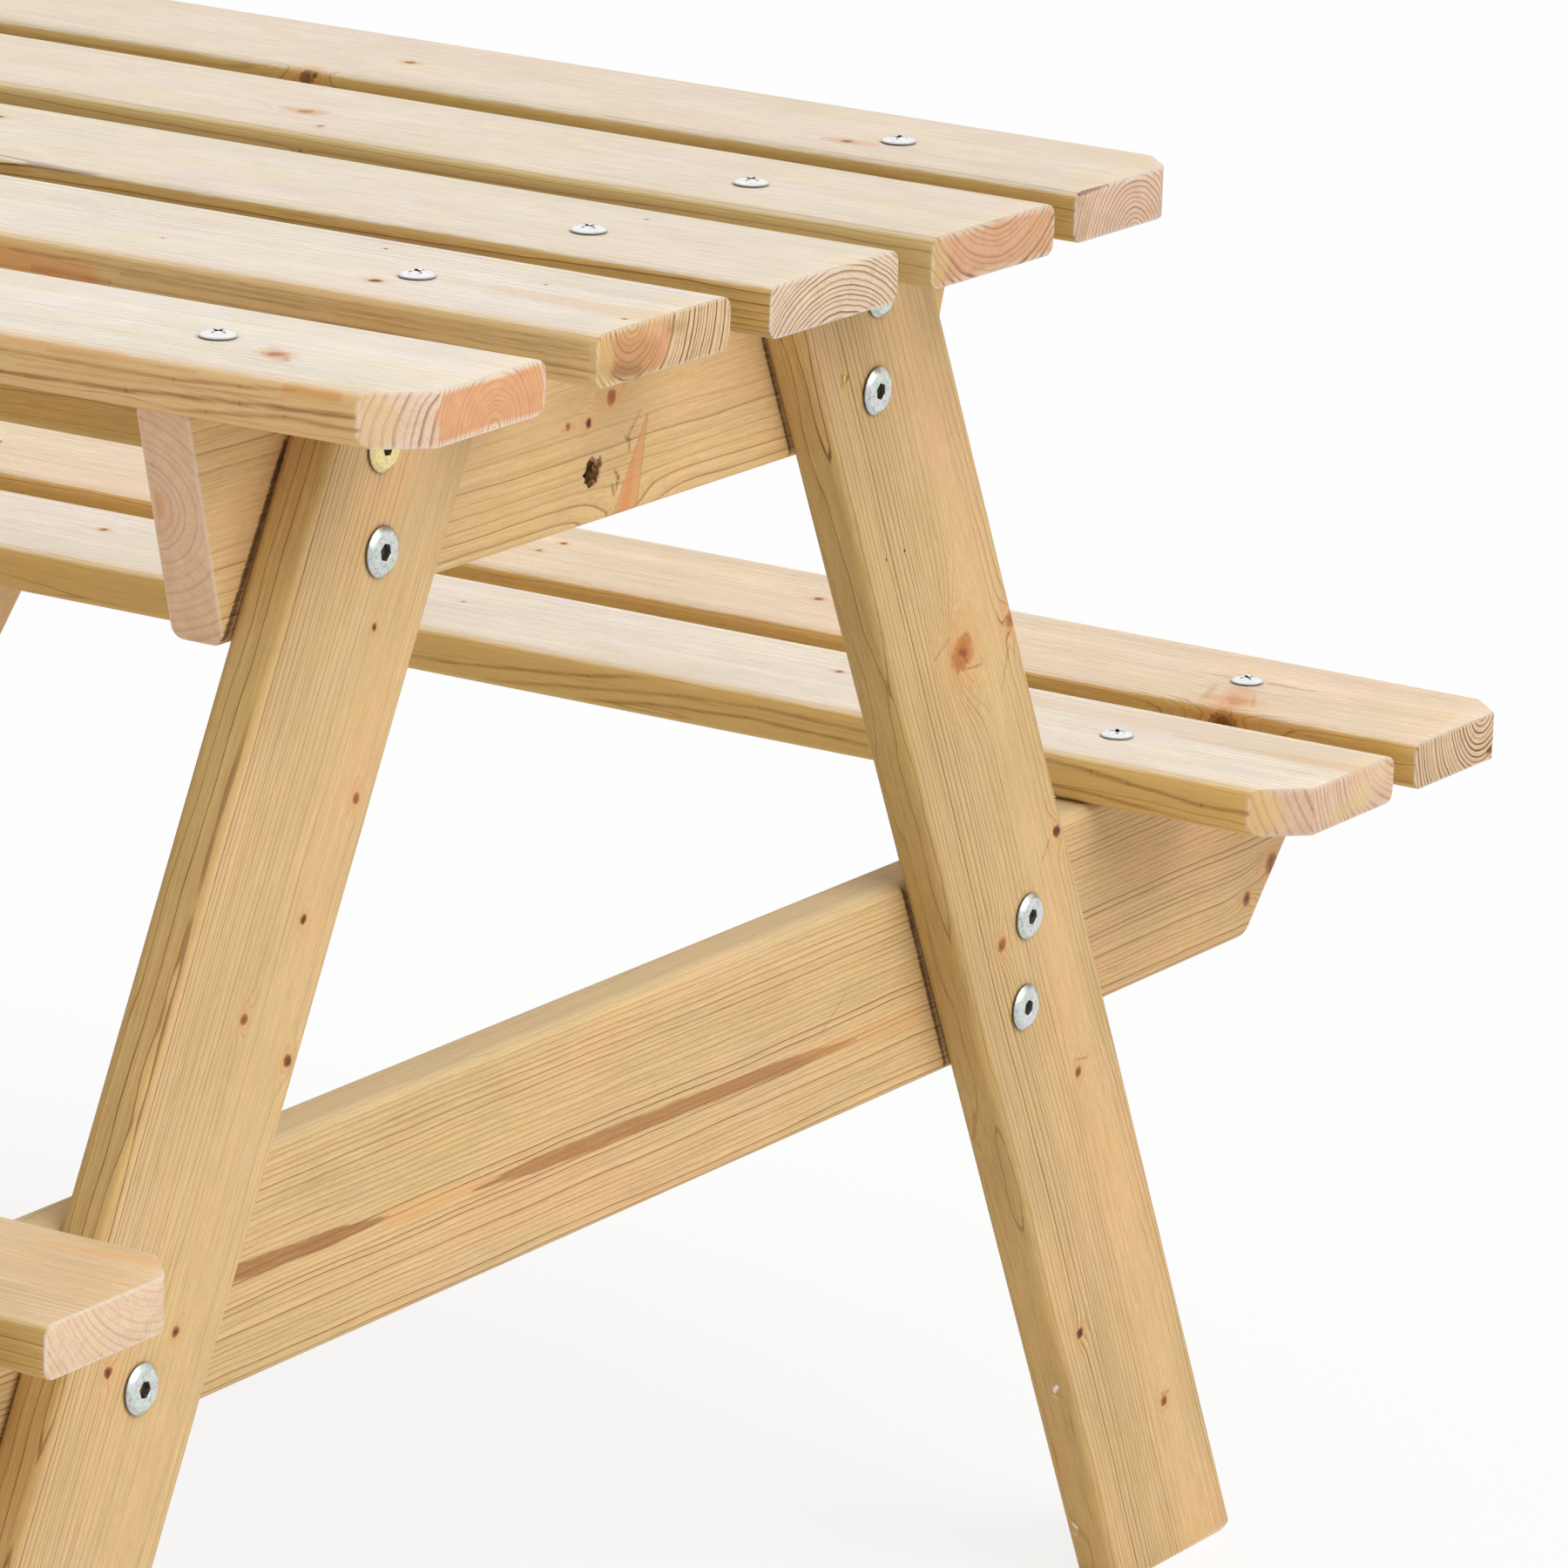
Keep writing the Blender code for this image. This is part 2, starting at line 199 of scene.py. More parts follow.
def add(kind, values=(), output=0, tree=None, **settings):
    """Adds a node with its settings, and its input values by place or by name, and gives one of its outputs.

    It goes into the given tree, or else into that of the first flow among the values.
    """
    if not isinstance(values, dict):
        values = dict(enumerate(values))
    tree = tree or next(value.tree for value in values.values() if isinstance(value, Flow))
    node = tree.nodes.new(kind)
    for name, value in settings.items():
        setattr(node, name, value)
    for slot, value in values.items():
        feed(node.inputs[slot], value)
    return Flow(node.outputs[output])


def calc(operation, *values, clamp=False):
    """A sum on numbers, by the name of its operation."""
    return add("ShaderNodeMath", values, operation=operation, use_clamp=clamp)


def bend(operation, *values, output=0):
    """The same on vectors."""
    if operation == "SCALE":
        values = dict(zip((0, "Scale"), values))
    return add("ShaderNodeVectorMath", values, output, operation=operation)


class Flow:
    """A value that flows through a node tree. Sums of flows add the Math nodes that work them out."""

    def __init__(self, socket):
        self.socket = socket
        self.tree = socket.id_data

    def __add__(self, other):
        return calc("ADD", self, other)

    def __radd__(self, other):
        return calc("ADD", other, self)

    def __sub__(self, other):
        return calc("SUBTRACT", self, other)

    def __rsub__(self, other):
        return calc("SUBTRACT", other, self)

    def __mul__(self, other):
        return calc("MULTIPLY", self, other)

    def __rmul__(self, other):
        return calc("MULTIPLY", other, self)

    def __truediv__(self, other):
        return calc("DIVIDE", self, other)

    def __rtruediv__(self, other):
        return calc("DIVIDE", other, self)

    def __neg__(self):
        return self * -1.0

    def step(self, low, high):
        """0 below low, 1 above high, and smooth between them."""
        return add("ShaderNodeMapRange", {"Value": self, "From Min": low, "From Max": high}, "Result",
                   interpolation_type="SMOOTHSTEP")

    def hump(self, width):
        """1 where the flow is 0, falling to 0 on both sides of it."""
        share = self / width
        return calc("EXPONENT", -(share * share))

    def limit(self):
        return calc("ADD", self, 0.0, clamp=True)

    def parts(self):
        return outputs_of(add("ShaderNodeSeparateXYZ", (self,)))


def outputs_of(flow):
    """All the outputs of a flow's node."""
    return [Flow(out) for out in flow.socket.node.outputs]


def join(x, y, z):
    return add("ShaderNodeCombineXYZ", (x, y, z))


def noise(place, scale=1.0, detail=2.0, roughness=0.5, color=False):
    """Smooth noise from 0 to 1, or three of them as a vector."""
    return add("ShaderNodeTexNoise",
               {"Vector": place, "Scale": scale, "Detail": detail, "Roughness": roughness},
               "Color" if color else "Fac", noise_dimensions="3D")


def blend(share, first, second, mode="MIX"):
    """Two colours mixed by a share."""
    return add("ShaderNodeMix", {0: share, 6: first, 7: second}, 2, data_type="RGBA", blend_type=mode)


def attribute(tree, name):
    return add("ShaderNodeAttribute", (), "Fac", tree, attribute_name=name)


def roughen(shader, height, strength, distance):
    """Gives a shader small bumps."""
    feed(shader.inputs["Normal"],
         add("ShaderNodeBump", {"Strength": strength, "Distance": distance, "Height": height}))


def new_group(name, inputs, outputs, kind="ShaderNodeTree"):
    """An empty node group. inputs and outputs are {name: socket type}. Gives the group and its input flows."""
    tree = bpy.data.node_groups.new(name, kind)
    for way, sockets in (("INPUT", inputs), ("OUTPUT", outputs)):
        for label, value in sockets.items():
            tree.interface.new_socket(label, in_out=way, socket_type="NodeSocket" + value)
    start = tree.nodes.new("NodeGroupInput")
    return tree, {label: Flow(start.outputs[label]) for label in inputs}


def close_group(tree, **results):
    end = tree.nodes.new("NodeGroupOutput")
    for label, value in results.items():
        feed(end.inputs[label.replace("_", " ")], value)


def use_group(group, **values):
    """Adds a group to a tree and gives its outputs by name."""
    named = {label.replace("_", " "): value for label, value in values.items()}
    return {flow.socket.name: flow for flow in outputs_of(add("ShaderNodeGroup", named, node_tree=group))}


# Softwood


def knot_group():
    """A branch through the wood, as a line from the pith outwards. Places are in millimetres on the board."""
    tree, given = new_group(
        "knot", {"Place": "Vector", "Ragged": "Float", "Centre": "Vector", "Axis": "Vector", "Radius": "Float",
                 "Dark": "Float"},
        {"Bulge": "Float", "Core": "Float", "Middle": "Float", "Bark": "Float", "Halo": "Float"})
    offset = bend("SUBTRACT", given["Place"], given["Centre"])
    along = bend("DOT_PRODUCT", offset, given["Axis"], output="Value")
    across = bend("SUBTRACT", offset, bend("SCALE", given["Axis"], along))
    reach = bend("LENGTH", across, output="Value") / given["Radius"] + given["Ragged"]
    swept = bend("MULTIPLY", across, (0.42, 1.0, 1.0))
    sweep = bend("LENGTH", swept, output="Value") / given["Radius"]
    near = 1.0 - calc("ABSOLUTE", along).step(13.0, 18.0)
    close_group(tree, Bulge=sweep.hump(1.6) * given["Radius"] * 1.25, Core=(1.0 - reach.step(0.65, 1.2)) * near,
                Middle=(1.0 - reach.step(0.1 + 0.25 * given["Dark"], 0.72 + 0.33 * given["Dark"])) * near,
                Bark=(reach - 1.0).hump(0.16) * near,
                Halo=(sweep * 0.55 + reach * 0.45).hump(1.7) * near)
    return tree


def streak_group():
    """A resin streak or scar from one point to another, pointed at a thin end. Its rim has its own colour."""
    tree, given = new_group(
        "streak", {"Place": "Vector", "Start": "Vector", "End": "Vector", "Start Width": "Float",
                   "End Width": "Float", "Hold": "Float", "Soft": "Float"},
        {"Mask": "Float", "Edge": "Float", "Grain": "Float"})
    run = bend("SUBTRACT", given["End"], given["Start"])
    offset = bend("SUBTRACT", given["Place"], given["Start"])
    share = bend("DOT_PRODUCT", offset, run, output="Value") / bend("DOT_PRODUCT", run, run, output="Value")
    held = share.limit()
    away = bend("LENGTH", bend("SUBTRACT", offset, bend("SCALE", run, held)), output="Value")
    grain = noise(bend("MULTIPLY", given["Place"], (0.10, 1.5, 1.5)), detail=3.0) - 0.5
    late = ((held - given["Hold"]) / (1.0 - given["Hold"])).limit()
    width = (given["Start Width"] + (given["End Width"] - given["Start Width"]) * late) * 0.5
    depth = width - away + grain * 1.6
    soft = given["Soft"]
    begun = 1.0 - calc("LESS_THAN", share, 0.0) * calc("GREATER_THAN", given["Hold"], 0.0)
    close_group(tree, Mask=depth.step(soft * -1.0, soft) * begun,
                Edge=depth.hump(0.4) * begun * calc("LESS_THAN", soft, 0.6), Grain=grain)
    return tree


def softwood_group(timber):
    """Planed softwood: growth rings round a pith line, and what the faces and the ends show of them."""
    tree, given = new_group(
        "softwood",
        {"Place": "Vector", "Seed": "Float", "Pith": "Vector", "Lean": "Vector", "Wander": "Float",
         "Ring Width": "Float", "Heart Radius": "Float", "Heart Depth": "Float", "Bulge": "Float", "Halo": "Float",
         "Half Size": "Vector", "Sawn": "Float", "From Cut": "Float", "Skin": "Float", "Olive": "Float",
         "Contrast": "Float", "Warmth": "Float", "Side": "Float", "Tone": "Vector", "End Contrast": "Float",
         "End Tint": "Color", "Mottle": "Float"},
        {"Color": "Color", "Height": "Float", "Gloss": "Float"})
    place, seed = given["Place"], given["Seed"]
    u, v, w = place.parts()
    _, half_v, half_w = given["Half Size"].parts()
    _, pith_v, pith_w = given["Pith"].parts()
    _, lean_v, lean_w = given["Lean"].parts()
    drift = join(seed * 37.0, seed * 11.0, seed * 5.0)

    # The rings wander slowly along the board, and waver a little over short stretches
    slow = noise(bend("MULTIPLY_ADD", place, (0.0055, 0.012, 0.012), drift), detail=1.5, color=True)
    _, slow_v, slow_w = bend("SCALE", bend("SUBTRACT", slow, (0.5, 0.5, 0.5)),
                             given["Wander"]).parts()
    quick = noise(bend("MULTIPLY_ADD", place, (0.02, 0.09, 0.09), drift), detail=2.0) - 0.5
    ring_v = v - pith_v - lean_v * u + slow_v
    ring_w = w - pith_w - lean_w * u + slow_w
    plain = calc("SQRT", ring_v * ring_v + ring_w * ring_w)
    radius = plain + quick * 1.7 - given["Bulge"]

    # Rings of unlike width. A thin dark line ends each, some far stronger than others.
    uneven = noise(join(radius * 0.13, seed * 3.0, 0.0), detail=1.0) - 0.5
    count = radius / given["Ring Width"] + uneven * 2.6
    luck = add("ShaderNodeTexWhiteNoise", {"Vector": join(calc("FLOOR", count), seed, 0.0)}, "Value",
               noise_dimensions="2D")
    share = calc("FRACT", count)

    # A face cuts the rings at a slant. The lines keep nearly the same width where it only grazes them.
    edge_on = (calc("ABSOLUTE", v) - half_v).step(-3.4, -0.6)
    facing_v, facing_w = (calc("ABSOLUTE", part) / plain for part in (ring_v, ring_w))
    slant = facing_v + (facing_w - facing_v) * edge_on
    broad = share.step(0.15, 0.95) * 0.22 * (slant + 0.25).limit()
    narrow_line = share.step(0.92 - 0.18 * slant, 0.93)
    line = (broad + narrow_line * 0.78) * (1.0 - share.step(0.95, 1.0))
    crossing = 0.12 + 0.88 * slant.step(0.05, 0.70)
    line = line * (0.38 + 0.72 * luck * luck) * (crossing + (1.0 - crossing) * edge_on * 0.75)

    # Fibres: long thin streaks that bend round the knots with the rings
    draw = radius / plain
    fibre = noise(join(u * 0.011 + seed, ring_v * draw * 1.15, ring_w * draw * 1.15), detail=3.0,
                  roughness=0.6)
    fine = noise(join(u * 0.06 + seed, ring_v * draw * 3.4, ring_w * draw * 3.4), detail=2.0,
                 roughness=0.7)
    hair = noise(join(u * 0.022 - seed, ring_v * draw * 2.3, ring_w * draw * 2.3), detail=1.0)
    hair = hair.step(0.60, 0.72)
    patch = noise(bend("MULTIPLY_ADD", place, (0.008, 0.024, 0.024), drift), detail=2.0)

    early = blend((patch.step(0.30, 0.70) * 0.75 + fibre.step(0.45, 0.75) * 0.3) * given["Olive"],
                  timber.early, timber.olive)
    warm = (1.0 - patch.step(0.30, 0.55)) * 0.55 + (luck - 0.5) * 0.15 + (fibre - 0.5) * 1.3
    warm = warm.limit() * given["Warmth"] * (1.0 - 0.9 * edge_on * (given["Side"] * 5.0).limit())
    early = blend(warm, early, timber.heart)
    marked = line * given["Contrast"] * (1.1 * fibre + 1.0 * fine - 0.05) + hair * given["Contrast"] * 0.22
    color = blend(marked.limit(), early, timber.late)
    heartwood = 1.0 - (radius + 7.0 * quick).step(given["Heart Radius"] - 1.2, given["Heart Radius"] + 1.2)
    color = blend(heartwood * (0.25 - 0.22 * edge_on), color, timber.heart)
    color = blend((given["Halo"] * 0.66).limit(), color, timber.knot_ring)

    # The narrow faces are multiplied by a darker, yellower colour: painted shade, as those faces look in shade
    color = blend(edge_on * given["Side"], color, timber.side, "MULTIPLY")

    # The upper faces are paler, down to where the edges turn over: partly weathered bleaching, partly a painted
    # sheen of the light on the tops
    upper = (w - half_w + 1.0 * patch + 1.2 * (fine - 0.5)).step(-1.1, -0.2) * given["Skin"]
    color = blend(upper * (0.96 - 0.36 * marked.limit()) * (1.0 - 0.75 * given["Halo"]), color, timber.skin)
    fluff = noise(bend("MULTIPLY", place, (0.28, 0.75, 0.75)), detail=3.0, roughness=0.75)
    grime = (fine - 0.5) * 0.50 + (fibre - 0.5) * (0.52 - 0.14 * given["Skin"]) + (fluff - 0.5) * 0.20
    color = blend(1.0, color, join(1.0 + grime, 1.0 + grime * 1.1, 1.0 + grime * 1.35), "MULTIPLY")

    # Cream, pinkish and greyish patches
    cast = noise(bend("MULTIPLY_ADD", place, (0.022, 0.055, 0.055), drift), detail=4.0,
                 roughness=0.68, color=True)
    cast_a, cast_b, cast_c = (part - 0.5 for part in cast.parts())
    cast_a = cast_a * 0.20
    cast = join(cast_a, cast_a + cast_b * (0.07 + 0.09 * edge_on), cast_a * 1.2 + cast_c * 0.30)
    cast = bend("ADD", bend("SCALE", cast, given["Mottle"]), (1.0, 1.0, 1.0))
    color = blend(1.0, color, cast, "MULTIPLY")
    near_cut = (1.0 - (given["From Cut"] + cast_c * 60.0).step(0.0, 22.0)) * given["Skin"]
    color = blend(near_cut * 0.8, color, (1.0, 0.965, 0.88), "MULTIPLY")

    # Sawn ends: crisp rings, heartwood short of the outer skin, rays from the pith, and a torn pale rim
    pores = noise(place, scale=2.2, detail=3.0, roughness=0.75)
    saw = noise(join(u * 0.2, v * 1.9 + w * 1.1, seed), detail=1.0)
    rays = noise(join(calc("ARCTAN2", ring_w, ring_v) * 50.0, radius * 0.10, seed), detail=1.0)
    side_gap = calc("MINIMUM", half_v - calc("ABSOLUTE", v), half_w - calc("ABSOLUTE", w))
    inner = heartwood * (side_gap + patch * 2.4 + (pores - 0.5) * 2.0).step(2.3, 3.5) * given["Heart Depth"]
    end_line = (share.step(0.52, 0.86) * (1.0 - share.step(0.95, 1.0)) * (0.35 + 0.75 * luck)
                * given["End Contrast"] * (1.0 - 0.55 * inner) * (0.6 + 0.9 * fine))
    end_color = blend(inner, timber.end_early, timber.heart)
    end_color = blend(end_line.limit(), end_color, timber.end_late)
    end_color = blend(rays.step(0.55, 0.85) * 0.18, end_color, timber.end_late)
    rough = (pores - 0.5) * 0.50 + (saw - 0.5) * 0.16
    end_color = blend(1.0, end_color, join(1.0 + rough, 1.0 + rough, 1.0 + rough * 1.2), "MULTIPLY")
    soaked = noise(bend("MULTIPLY_ADD", place, (0.05, 0.17, 0.26), drift), detail=3.0, roughness=0.6,
                   color=True)
    soaked_a, soaked_b, _ = (part - 0.5 for part in soaked.parts())
    soaked = join(1.0 + soaked_a * 0.24, 1.0 + soaked_a * 0.40, 1.0 + soaked_a * 0.45 + soaked_b * 0.34)
    end_color = blend(1.0, end_color, soaked, "MULTIPLY")
    rim = 1.0 - (side_gap + (pores - 0.5) * 2.4).step(0.1, 1.1)
    end_color = blend(rim * 0.6, end_color, timber.skin)
    color = bend("MULTIPLY", color, given["Tone"])
    end_color = blend(1.0, end_color, given["End Tint"], "MULTIPLY")
    color = blend(given["Sawn"], color, end_color)
    fuzz = (1.0 - (given["From Cut"] + (pores - 0.5) * 2.8).step(-0.1, 1.0)) * (1.0 - given["Sawn"])
    color = blend(fuzz * 0.5, color, timber.skin)

    long_height = line * 0.40 + fibre * 0.45 + fine * 0.30
    height = long_height + (end_line * 0.5 + pores * 1.2 + saw * 0.5 - long_height) * given["Sawn"]
    gloss = 0.58 - 0.10 * line + 0.10 * (fibre - 0.5) + 0.2 * given["Sawn"]
    close_group(tree, Color=color, Height=height, Gloss=gloss)
    return tree


@dataclass
class Wood:
    """The look of one board. Places and sizes are in millimetres on the board, from its middle.

    pith is the place of the tree's middle across the board, and lean how far it moves per length. wander is how
    far the rings stray. tone multiplies the faces' red, green and blue.
    A knot is (place, place, place, radius, darkness). A radius below zero bends the rings but shows no knot.
    A streak is (start, end, start width, end width, colour, strength), and may go on with the softness of its rim
    and the share of its length that keeps the start width.
    """

    pith: tuple
    ring: float = 2.2
    lean: tuple = (0.0, 0.0)
    wander: float = 5.0
    heart: float = 6.0
    heart_depth: float = 0.6
    olive: float = 0.6
    contrast: float = 0.6
    warmth: float = 0.4
    # Strength of the paler upper faces: part weathering, part painted sheen
    skin: float = 0.0
    # Strength of the painted shade on the narrow faces
    side: float = 0.9
    tone: tuple = (1.0, 1.0, 1.0)
    mottle: float = 1.0
    end_contrast: float = 0.9
    end_tint: str = "ffffff"
    knots: tuple = ()
    streaks: tuple = ()


def knot_axis(wood, centre):
    """A branch grows out from the pith, and a little up along the tree. It leaves its face at a steep angle."""
    _, v, w = centre
    axis = Vector((0.0, v - wood.pith[0], w - wood.pith[1]))
    out, across = (1, 2) if v == SIDE else (2, 1)
    most = 0.4 * abs(axis[out])
    axis[across] = max(-most, min(most, axis[across]))
    axis.x = 0.15 * axis.length
    return axis.normalized()


def wood_material(name, wood, seed, box, groups, timber):
    """box is (matrix of the board's own axes, half of its size in metres)."""
    turn, half = box
    material, tree = new_material(name)
    shader = tree.nodes["Principled BSDF"]
    place = add("ShaderNodeMapping",
                {"Vector": add("ShaderNodeTexCoord", (), "Object", tree), "Location": turn.to_translation(),
                 "Rotation": turn.to_euler(), "Scale": (MM, MM, MM)}, "Vector", vector_type="TEXTURE")

    marks, bulge, halo = [], 0.0, 0.0
    if wood.knots:
        ragged = (noise(place, scale=0.55, detail=3.0) - 0.5) * 0.7
    for u, v, w, radius, dark in wood.knots:
        centre = (u, v, w)
        mark = use_group(groups["knot"], Place=place, Ragged=ragged, Centre=centre,
                         Axis=knot_axis(wood, centre), Radius=abs(radius), Dark=dark)
        bulge = mark["Bulge"] + bulge
        if radius > 0:
            halo = mark["Halo"] + halo
            marks.append((mark, dark))
    if marks:
        halo = halo.limit()
    face = use_group(
        groups["softwood"], Place=place, Seed=seed, Pith=(0.0, *wood.pith), Lean=(0.0, *wood.lean),
        Wander=wood.wander, Ring_Width=wood.ring, Heart_Radius=wood.heart, Heart_Depth=wood.heart_depth,
        Bulge=bulge, Halo=halo, Half_Size=tuple(h / MM for h in half), Sawn=attribute(tree, "sawn"),
        From_Cut=attribute(tree, "from_cut"), Skin=wood.skin, Olive=wood.olive, Contrast=wood.contrast,
        Warmth=wood.warmth, Side=wood.side, Tone=wood.tone, End_Contrast=wood.end_contrast,
        End_Tint=srgb(wood.end_tint), Mottle=wood.mottle)
    color, height = face["Color"], face["Height"]
    if marks:
        speck = noise(place, scale=0.6, detail=3.0, roughness=0.7).step(0.42, 0.60)
        grit = noise(place, scale=0.5, detail=4.0, roughness=0.8)
    for mark, dark in marks:
        body = tuple(pale + (deep - pale) * dark for pale, deep in zip(timber.pale_knot, timber.knot))
        inner = blend((mark["Middle"] * (0.30 + 0.8 * dark) * (0.45 + speck) + 0.10 * dark).limit(),
                      body, timber.bark)
        inner = blend(1.0, inner, 0.30 + 1.40 * grit, "MULTIPLY")
        color = blend(mark["Core"] * (0.80 + 0.15 * dark), color, inner)
        color = blend(mark["Bark"] * (0.10 + 0.5 * dark) * (0.4 + speck), color, timber.bark)
        height = height - mark["Bark"] * 0.8
    for start, end, start_width, end_width, tint, strength, *more in wood.streaks:
        soft, hold = more + [0.5, 0.0][len(more):]
        mark = use_group(groups["streak"], Place=place, Start=start, End=end, Start_Width=start_width,
                         End_Width=end_width, Hold=hold, Soft=soft)
        share = (mark["Mask"] * (1.0 + mark["Grain"])).limit()
        color = blend(share * strength, color, srgb(tint))
        color = blend(mark["Edge"] * strength * 0.3, color, timber.late)
    roughen(shader, height, strength=0.7, distance=0.00035)
    feed(shader.inputs["Base Color"], color)
    feed(shader.inputs["Roughness"], face["Gloss"])
    shader.inputs["Specular IOR Level"].default_value = 0.22
    return material


# Boards


PARALLEL = 0.9999  # Unit vectors with a larger product than this count as one direction,
SQUARE = 0.01  # and those with a smaller one as being at right angles
LEAST_SLOPE = 0.15  # How far a face has to turn towards the length to be a cut and not a side
LARGEST = 40  # Faces among which a board's main ones are looked for
TOUCHING = 1e-5
WELD = 1e-6


def axes_of(node, along, outward):
    """A board's own axes, read from its frame solid: X down its length, Z out of its wide face."""
    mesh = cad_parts[node].data
    points = np.array([v.co for v in mesh.vertices], float)
    normals = np.array([p.normal for p in mesh.polygons], float)
    areas = np.array([p.area for p in mesh.polygons], float)

    def main_normal(allowed):
        """The normal, either way, that the most area shares."""
        best, best_area = None, 0.0
        for i in np.argsort(-areas * allowed)[:LARGEST]:
            if allowed[i]:
                area = areas[allowed & (abs(normals @ normals[i]) > PARALLEL)].sum()
                if area > best_area:
                    best, best_area = normals[i], area
        return best

    wide = main_normal(np.ones(len(normals), bool))
    narrow = main_normal(abs(normals @ wide) < SQUARE)
    length = np.cross(narrow, wide)
    wide = wide * math.copysign(1.0, wide @ np.array(outward))
    length = length * math.copysign(1.0, length @ np.array(along))
    turn = np.array([length, np.cross(wide, length), wide])
    spread = points @ turn.T
    low, high = spread.min(0), spread.max(0)
    matrix = Matrix(turn.T.tolist()).to_4x4()
    matrix.translation = turn.T @ ((low + high) / 2)

    # Planes of the sawn cuts: the outermost faces that lean along the length
    cuts = []
    for i in np.argsort(-areas):
        normal = normals[i]
        reach = (points @ normal).max()
        corner = points[mesh.polygons[i].vertices[0]] @ normal
        if abs(normal @ length) > LEAST_SLOPE and reach - corner < TOUCHING:
            if not any(normal @ other > PARALLEL for other, _ in cuts):
                cuts.append((normal, reach))
    back = matrix.to_3x3().transposed()
    planes = [(back @ Vector(n), reach - Vector(n) @ matrix.translation) for n, reach in cuts]
    return matrix, Vector(((high - low) / 2).tolist()), planes


EDGE_SEGMENTS = 6
LOOP_STEP = 0.012  # About the room between a board's loops


def round_corners(planes, radius):
    """More planes between neighbouring upright cuts at the right end, so that they meet in an arc."""
    ends = [(n, reach) for n, reach in planes if n.x > 0.3 and abs(n.z) < SQUARE]
    ends.sort(key=lambda plane: math.atan2(plane[0].y, plane[0].x))
    added = []
    for (first, first_reach), (second, second_reach) in zip(ends, ends[1:]):
        turn = Matrix(((first.x, first.y), (second.x, second.y))).inverted()
        corner = turn @ Vector((first_reach - radius, second_reach - radius))
        for share in (0.25, 0.5, 0.75):
            normal = first.lerp(second, share).normalized()
            added.append((normal, normal.x * corner.x + normal.y * corner.y + radius))
    return planes + added


def board_mesh(name, half, planes, edge, sawn_edge):
    """A board about the origin, along X, cut by its planes, with two attributes for its finish."""
    bm = bmesh.new()
    sawn = bm.faces.layers.float.new("sawn")
    from_cut = bm.verts.layers.float.new("from_cut")
    bmesh.ops.create_cube(bm, size=2.0)
    bmesh.ops.scale(bm, vec=(half.x * 1.1, half.y, half.z), verts=bm.verts[:])
    long_edges = [e for e in bm.edges if abs(e.verts[0].co.x - e.verts[1].co.x) > half.x]
    bmesh.ops.bevel(bm, geom=long_edges, offset=edge, offset_type="OFFSET", segments=EDGE_SEGMENTS,
                    profile=0.5, affect="EDGES")
    for normal, reach in planes:
        cut = bmesh.ops.bisect_plane(
            bm, geom=bm.verts[:] + bm.edges[:] + bm.faces[:], dist=WELD, plane_co=normal * reach,
            plane_no=normal, clear_outer=True)
        bmesh.ops.contextual_create(bm, geom=[e for e in cut["geom_cut"] if isinstance(e, bmesh.types.BMEdge)])
    bm.faces.ensure_lookup_table()
    bm.normal_update()

    def on_cut(face):
        return any(face.normal @ normal > 0.999 and abs(face.calc_center_median() @ normal - reach) < TOUCHING
                   for normal, reach in planes)

    # Soften the sawn edges, then mark the cut faces
    rims = [e for e in bm.edges if any(on_cut(f) for f in e.link_faces)]
    made = bmesh.ops.bevel(bm, geom=rims, offset=sawn_edge, offset_type="OFFSET", segments=2, profile=0.5,
                           affect="EDGES")
    for face in bm.faces:
        face[sawn] = 1.0 if on_cut(face) else 0.0
    for face in made["faces"]:
        face[sawn] = 1.0

    # Loops along the length, so that what is stored on the points stays true between them
    count = int(2 * half.x / LOOP_STEP)
    for i in range(1, count):
        x = -half.x + 2 * half.x * i / count
        bmesh.ops.bisect_plane(bm, geom=bm.verts[:] + bm.edges[:] + bm.faces[:], dist=WELD,
                               plane_co=(x, 0, 0), plane_no=RIGHT)
    bmesh.ops.triangulate(bm, faces=[f for f in bm.faces if len(f.verts) > 4])
    for vert in bm.verts:
        vert[from_cut] = min(reach - vert.co @ normal for normal, reach in planes) / MM
    bmesh.ops.recalc_face_normals(bm, faces=bm.faces[:])
    return fill(bpy.data.meshes.new(name), bm)


# Directions of the boards, the axes of a board, and the levels of its faces in millimetres
UP, DOWN, RIGHT, REAR, FORWARD = (0, 0, 1), (0, 0, -1), (1, 0, 0), (0, 1, 0), (0, -1, 0)
LENGTH, WIDTH, DEPTH = range(3)
TOP, FACE, FRONT, SIDE, END, BENCH_END = 8.0, 8.5, 9.0, -35.0, 355.0, 353.5


def on_face(axis, level, *rows):
    """Streaks on the face that lies at this level along the axis. A row has both places' two other coordinates."""
    return [((*row[:axis], level, *row[axis:2]), (*row[2:2 + axis], level, *row[2 + axis:4]), *row[4:])
            for row in rows]


def side_line(places, width, tint, strength, soft=0.7):
    """A grain line on the front narrow face, as streaks end to end. places are (length, height)."""
    return [((u, SIDE, w), (next_u, SIDE, next_w), width, width, tint, strength, soft, 0.01)
            for (u, w), (next_u, next_w) in zip(places, places[1:])]


